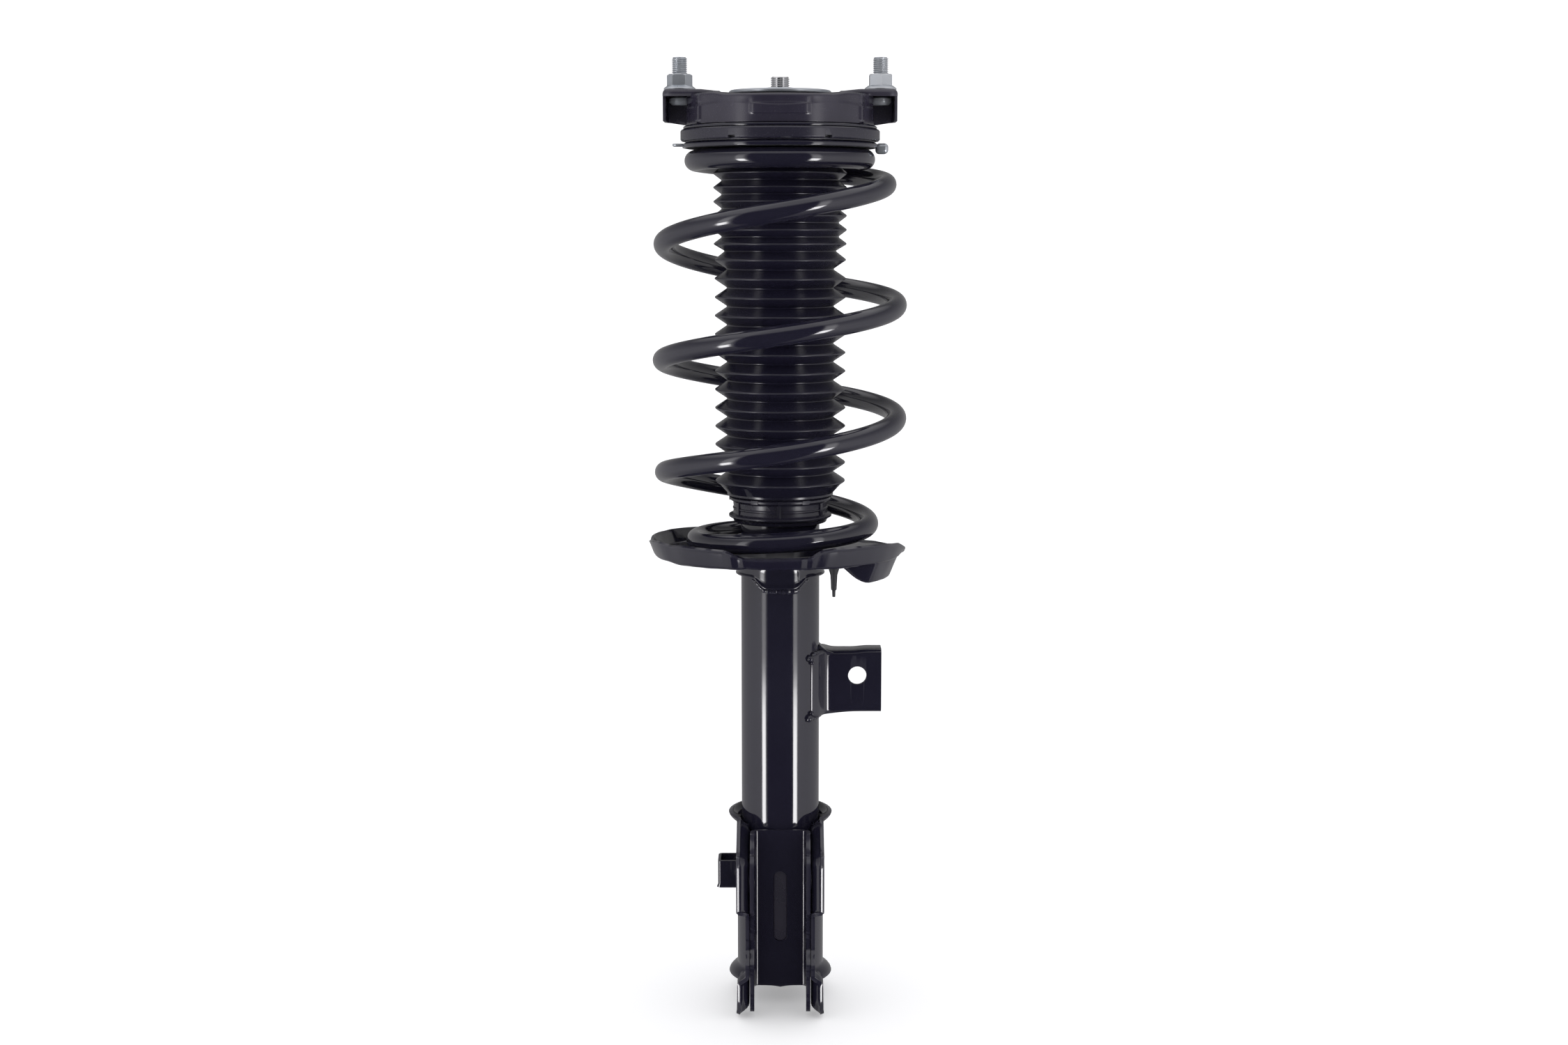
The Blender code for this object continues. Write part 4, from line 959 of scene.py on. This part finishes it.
def inner_half(u, v):
    """Right half of the inner plate: flat web in front of the tube, then a flange along the ear."""
    web = -(TUBE_RADIUS + 0.4 + 1.35)
    bend = 4.2
    corner = INNER_OFFSET - bend
    share = max(0.0, (u - 0.45) / 0.55)
    top = -473.0 - 10.5 * smooth_step(share, 0.1, 1.0)
    bottom = -577.6 - 1.4 * (1 - min(u, 0.3) / 0.3) ** 2 - 9.9 * smooth_step(share, 0.0, 0.8)
    bottom += 2.5 * smooth_step(share, 0.85, 1.0) ** 2
    height = top + (bottom - top) * v
    dish = 0.9 * window(height, -572.0, 14.0, 26.0) * (1 - smooth_step(u, 0.02, 0.30))
    if u <= 0.3:
        return (corner * u / 0.3, web + dish, height)
    if u <= 0.45:
        a = pi / 2 * (1 - (u - 0.3) / 0.15)
        return (corner + bend * cos(a), web - bend + bend * sin(a), height)
    front = -(ear_front(height) - 1.2)
    return (INNER_OFFSET, web - bend + (front - web + bend) * share, height)


def oblong_mesh(half, low, high, front, back):
    """An upright oblong with round ends, between two depths."""
    ring = []
    for centre, start in ((high - half, 0), (low + half, 180)):
        for k in range(17):
            a = radians(start + 180 * k / 16)
            ring.append((half * cos(a), centre + half * sin(a)))
    return loft_mesh([[(x, y, z) for x, z in ring] for y in (front, back)])


def build_knuckle_bracket():
    """Two nested pressings with rolled lips, an oblong recess and the welds that join them."""
    outer = sheet_piece("clevis_outer_fine", mirrored(outer_half, 64, 120), 2.5)
    inner = sheet_piece("clevis_inner_fine", mirrored(inner_half, 40, 90), 2.7)
    for piece in (outer, inner):
        holes = [cylinder_mesh(7.0, 90, (0, y, z), "X") for y, z in KNUCKLE_HOLES]
        combine(piece, holes, "DIFFERENCE")
    combine(inner, [oblong_mesh(4.3, -547.7, -500.5, -33.0, -22.0)], "DIFFERENCE")
    backing = new_object("web_window_backing", oblong_mesh(4.15, -547.5, -500.7, -27.3, -26.0))
    add_bevel(backing, 0.3, 2)
    finish_piece(backing, STRUT, "satin_paint", smooth=45)
    finish_pressing(outer, 0.8)
    finish_pressing(inner, 0.7)

    for side, label in ((-1, "left"), (1, "right")):
        path = [(side * 19.6, -(ear_front(z) - 0.4), z) for z in np.linspace(-491.0, -561.0, 120)]
        add_bead(f"ear_weld_{label}", path, 0.9, 3 + side)
        path = [polar(TUBE_RADIUS + 0.5, 90 - side * a, -467.9) for a in np.linspace(4.0, 62.0, 50)]
        add_bead(f"clevis_weld_{label}", path, 1.3, 7 + side)


# ---- small brackets

LINK_TOP, LINK_BOTTOM, LINK_REACH = -360.3, -399.6, 66.2
# Middle of the web's sheet seen from above, as (x, y).
LINK_WEB = ((18.0, -15.6), (22.0, -13.4), (24.2, -11.0), (26.4, -7.4), (28.4, -4.4), (30.4, -3.2),
            (36.0, -1.9), (46.0, -0.6), (60.0, 0.0), (70.0, 0.0))
LINK_ROOT = 19.6         # where the channel starts, inside the tube's outline


def tube_space(gap):
    """The tube's stretch behind the link bracket, wider by a gap, as a cutter."""
    return cylinder_mesh(TUBE_RADIUS + gap, 80, (0, 0, -380), segments=160)


def build_link_bracket():
    """Channel open to the back, its web bending forward to the tube, with welded corners and a fin."""
    bend = 2.6

    def place(u, v):
        x = LINK_ROOT + (LINK_REACH - LINK_ROOT) * u
        web = smooth_curve(LINK_WEB, x)
        spread = 2.6 * (1 - smooth_step(x, 20.0, 50.0))
        low = LINK_BOTTOM - spread * 0.55
        high = LINK_TOP + 0.9 * window(x, 26.0, 1.0, 7.0) - 0.8 * window(x, 42.0, 4.0, 12.0)
        ring = filleted([(14.5, high, 0), (web, high, bend), (web, (high + low) / 2, 0), (web, low, bend),
                         (14.5, low, 0)], 0.0, closed=False, steps=6)
        return (x, *point_on(ring, v))
    link = sheet_piece("link_bracket_fine", grid_mesh(place, 60, 16), 2.6)
    combine(link, [tube_space(0.3), cylinder_mesh(6.0, 14, (50.4, 0, -376.2), "Y", 64)], "DIFFERENCE")
    finish_pressing(link, 0.8)

    spots = (((19.4, -17.9, -361.4), 2.3), ((19.0, -18.3, -401.0), 2.5), ((20.6, -16.4, -364.5), 1.5),
             ((20.2, -16.8, -398.0), 1.5))
    for i, (centre, radius) in enumerate(spots):
        bm = bmesh.new()
        bmesh.ops.create_icosphere(bm, subdivisions=4, radius=radius * MM)
        for vert in bm.verts:
            vert.co *= 1 + 0.22 * noise.noise(vert.co * 420 + Vector((i, 0, 0)))
            vert.co += Vector(centre) * MM
        finish_piece(new_object(f"link_weld_spot_{i}", mesh_from(bm)), STRUT, "gloss_paint", smooth=60)
    fin_path = [(25.0, 3.6), (25.3, 5.6), (27.6, 3.2), (30.8, 0.9), (35.0, -0.4), (33.0, -1.6),
                (25.0, -1.6)]
    rings = [[(x, y, LINK_TOP + z) for x, z in filleted(fin_path, 0.3, steps=3)] for y in (-4.5, 4.5)]
    fin = new_object("link_fin", loft_mesh(rings))
    combine(fin, [tube_space(0.1)], "DIFFERENCE")
    add_bevel(fin, 0.5)
    finish_piece(fin, STRUT, "gloss_paint", smooth=45)
    for name, z in (("link_weld_top", LINK_TOP + 1.0), ("link_weld_bottom", LINK_BOTTOM - 2.2)):
        path = [polar(TUBE_RADIUS + 0.6, a, z) for a in np.linspace(-38.0, 30.0, 60)]
        add_bead(name, path, 1.2, len(name))


def build_hose_bracket():
    """Three-sided clip on the side of the knuckle bracket, with a small curl at its lower corner."""
    path = filleted([(-28.6, -9.5), (-40.2, -9.5, 1.4), (-40.2, 7.0, 2.4), (-28.6, 7.0)], 0.0,
                    closed=False, steps=6)

    def place(u, v):
        x, y = point_on(path, u)
        curl = 0.9 * smooth_step(v, 0.86, 1.0) * window(u, 0.35, 0.06, 0.1)
        return (x - curl, y, -499.0 - 18.2 * v)
    hose = sheet_piece("hose_bracket_fine", grid_mesh(place, len(path) - 1, 16), 1.8)
    finish_pressing(hose, 0.45)


# ---- carried-over nodes

def dress_hidden_nodes():
    """Give the CAD nodes that stay, all inside the strut, the finish of their material slot."""
    for part in frame["record"]["subparts"]:
        node = frame["nodes"][part["node"]]
        if node.hide_render:
            continue
        finish = FINISHES[part["material_slot"]]
        if len(node.data.materials) == 0:
            node.data.materials.append(finish)
        for material_slot in node.material_slots:
            material_slot.material = finish


# ---- studio

# Brightness of the light tent as (degrees round from the front, value).
STUDIO_RING = ((-180, 0.24), (-150, 0.36), (-125, 0.48), (-100, 0.66), (-80, 0.80), (-52, 1.0), (-42, 1.1),
               (-38, 0.02), (37, 0.02), (40, 1.1), (50, 1.0), (80, 0.80), (100, 0.66), (125, 0.48),
               (150, 0.36), (180, 0.24))
STRIPS = ((-54, -45), (39.5, 49))        # start and end of the two bright strips, in the same degrees
STRIP_FADES = (1.0, 3.0)                 # degrees over which a strip starts and ends
STRIP_BRIGHTNESS = 15.0
# Shares of the brightness by height, where 0 is straight down and 1 straight up.
STRIP_HEIGHTS = ((0.0, 0.0), (0.30, 0.0), (0.35, 1.0), (0.436, 1.0), (0.447, 0.10), (0.60, 0.10),
                 (0.72, 0.0))
RING_HEIGHTS = ((0.0, 0.15), (0.2, 0.40), (0.36, 1.0), (0.52, 1.0), (0.65, 0.60), (0.80, 0.22), (1.0, 0.18))
OVERHEAD = ((0.0, 0.0), (0.70, 0.0), (0.79, 0.9), (1.0, 0.9))      # brightness added from above
# Metres: the floor, which curves up into the backdrop, and the light tent round the object.
FLOOR_HEIGHT = -0.5915
FLOOR_FRONT, FLOOR_BACK, FLOOR_SIDE, BACKDROP_TOP = -4.0, 3.0, 7.0, 6.0
FLOOR_BEND = 1.5
TENT_RADIUS, TENT_HEIGHT = 3.0, -0.3
CAMERA_PLACE = (0.00244, -1.343, -0.085)
CAMERA_TILT = 8.06       # degrees down from level


def stage_piece(name, mesh, material):
    """Add part of the studio, which isn't part of the object."""
    mesh.materials.append(material)
    item = new_object(name, mesh)
    return item


def floor_material():
    """Matt, pale, slightly luminous paper."""
    material = bpy.data.materials.new("pale_floor")
    material.use_nodes = True
    shader = material.node_tree.nodes["Principled BSDF"]
    shader.inputs["Base Color"].default_value = (0.90, 0.90, 0.91, 1)
    shader.inputs["Roughness"].default_value = 0.9
    shader.inputs["Specular IOR Level"].default_value = 0.0
    shader.inputs["Emission Color"].default_value = (1, 1, 1, 1)
    shader.inputs["Emission Strength"].default_value = 0.22
    return material


def tent_material():
    """Light for reflections: dark in front, two bright strips beside that, pale sides."""
    material = bpy.data.materials.new("light_tent")
    material.use_nodes = True
    tree = material.node_tree
    tree.nodes.clear()

    def calc(operation, *values):
        return add_node(tree, "Math", dict(enumerate(values)), operation=operation).outputs["Value"]

    def ramp(source, stops):
        node = add_node(tree, "ValToRGB", {"Fac": source})
        elements = node.color_ramp.elements
        while len(elements) > 1:
            elements.remove(elements[-1])
        for i, (position, value) in enumerate(stops):
            element = elements[0] if i == 0 else elements.new(position)
            element.position = position
            element.color = (value, value, value, 1)
        return node.outputs["Color"]

    place = add_node(tree, "TexCoord", {}).outputs["Object"]
    x, y, z = add_node(tree, "SeparateXYZ", {"Vector": place}).outputs
    turn = calc("ARCTAN2", x, calc("MULTIPLY", y, -1.0))
    azimuth = calc("MULTIPLY_ADD", turn, 1 / (2 * pi), 0.5)
    level = calc("SQRT", calc("ADD", calc("MULTIPLY", x, x), calc("MULTIPLY", y, y)))
    elevation = calc("MULTIPLY_ADD", calc("ARCTAN2", z, level), 1 / pi, 0.5)

    stops = [(-180, 0.0)]
    for start, end in STRIPS:
        stops += [(start - STRIP_FADES[0], 0.0), (start, 1.0), (end, 1.0), (end + STRIP_FADES[1], 0.0)]
    ring, strips = (ramp(azimuth, [((a + 180) / 360, value) for a, value in line])
                    for line in (STUDIO_RING, stops))
    glow = calc("MULTIPLY", calc("MULTIPLY", strips, ramp(elevation, STRIP_HEIGHTS)), STRIP_BRIGHTNESS)
    total = calc("ADD", calc("MULTIPLY", ring, ramp(elevation, RING_HEIGHTS)), glow)
    total = calc("ADD", total, ramp(elevation, OVERHEAD))
    light = add_node(tree, "Emission", {"Color": (1.0, 0.99, 1.0, 1), "Strength": total})
    add_node(tree, "OutputMaterial", {"Surface": light.outputs["Emission"]})
    return material


def build_studio():
    """Pale floor and backdrop in white light, and a light tent that only reflections see."""
    rows = [(FLOOR_FRONT, FLOOR_HEIGHT)]
    for k in range(13):
        a = radians(90 * k / 12)
        rise = FLOOR_BEND * (1 - cos(a))
        rows.append((FLOOR_BACK + FLOOR_BEND * sin(a), FLOOR_HEIGHT + rise))
    rows.append((FLOOR_BACK + FLOOR_BEND, BACKDROP_TOP))
    points = [(x, y, z) for y, z in rows for x in (-FLOOR_SIDE, FLOOR_SIDE)]
    faces = [(2 * i, 2 * i + 1, 2 * i + 3, 2 * i + 2) for i in range(len(rows) - 1)]
    mesh = bpy.data.meshes.new("floor")
    mesh.from_pydata(points, [], faces)
    mesh.shade_smooth()
    floor = stage_piece("floor", mesh, floor_material())
    floor.visible_glossy = False

    bm = bmesh.new()
    bmesh.ops.create_uvsphere(bm, u_segments=64, v_segments=32, radius=TENT_RADIUS)
    tent = stage_piece("light_tent", mesh_from(bm), tent_material())
    tent.location = (0, 0, TENT_HEIGHT)
    for sight in ("camera", "diffuse", "shadow", "transmission"):
        setattr(tent, "visible_" + sight, False)

    world = bpy.data.worlds.new("studio")
    bpy.context.scene.world = world
    world.use_nodes = True
    background = world.node_tree.nodes["Background"]
    background.inputs["Color"].default_value = (0.99, 0.99, 1.0, 1)
    background.inputs["Strength"].default_value = 1.0
    bpy.context.scene.view_settings.view_transform = "Standard"


def build_camera():
    """Camera at the height, distance and tilt the view needs."""
    data = bpy.data.cameras.new("camera")
    data.sensor_width = 36.0
    data.lens = 48.0
    data.clip_start = 0.05
    data.clip_end = 30.0
    camera = new_object("camera", data)
    camera.location = CAMERA_PLACE
    camera.rotation_euler = (radians(90 - CAMERA_TILT), 0, 0)
    bpy.context.scene.camera = camera


build_camera()
build_fasteners()
build_mount()
build_bearing_and_seat()
build_spring()
build_boot()
build_tube_and_cap()
build_pan()
build_lower_insulator()
build_collar()
build_knuckle_bracket()
build_link_bracket()
build_hose_bracket()
dress_hidden_nodes()
build_studio()
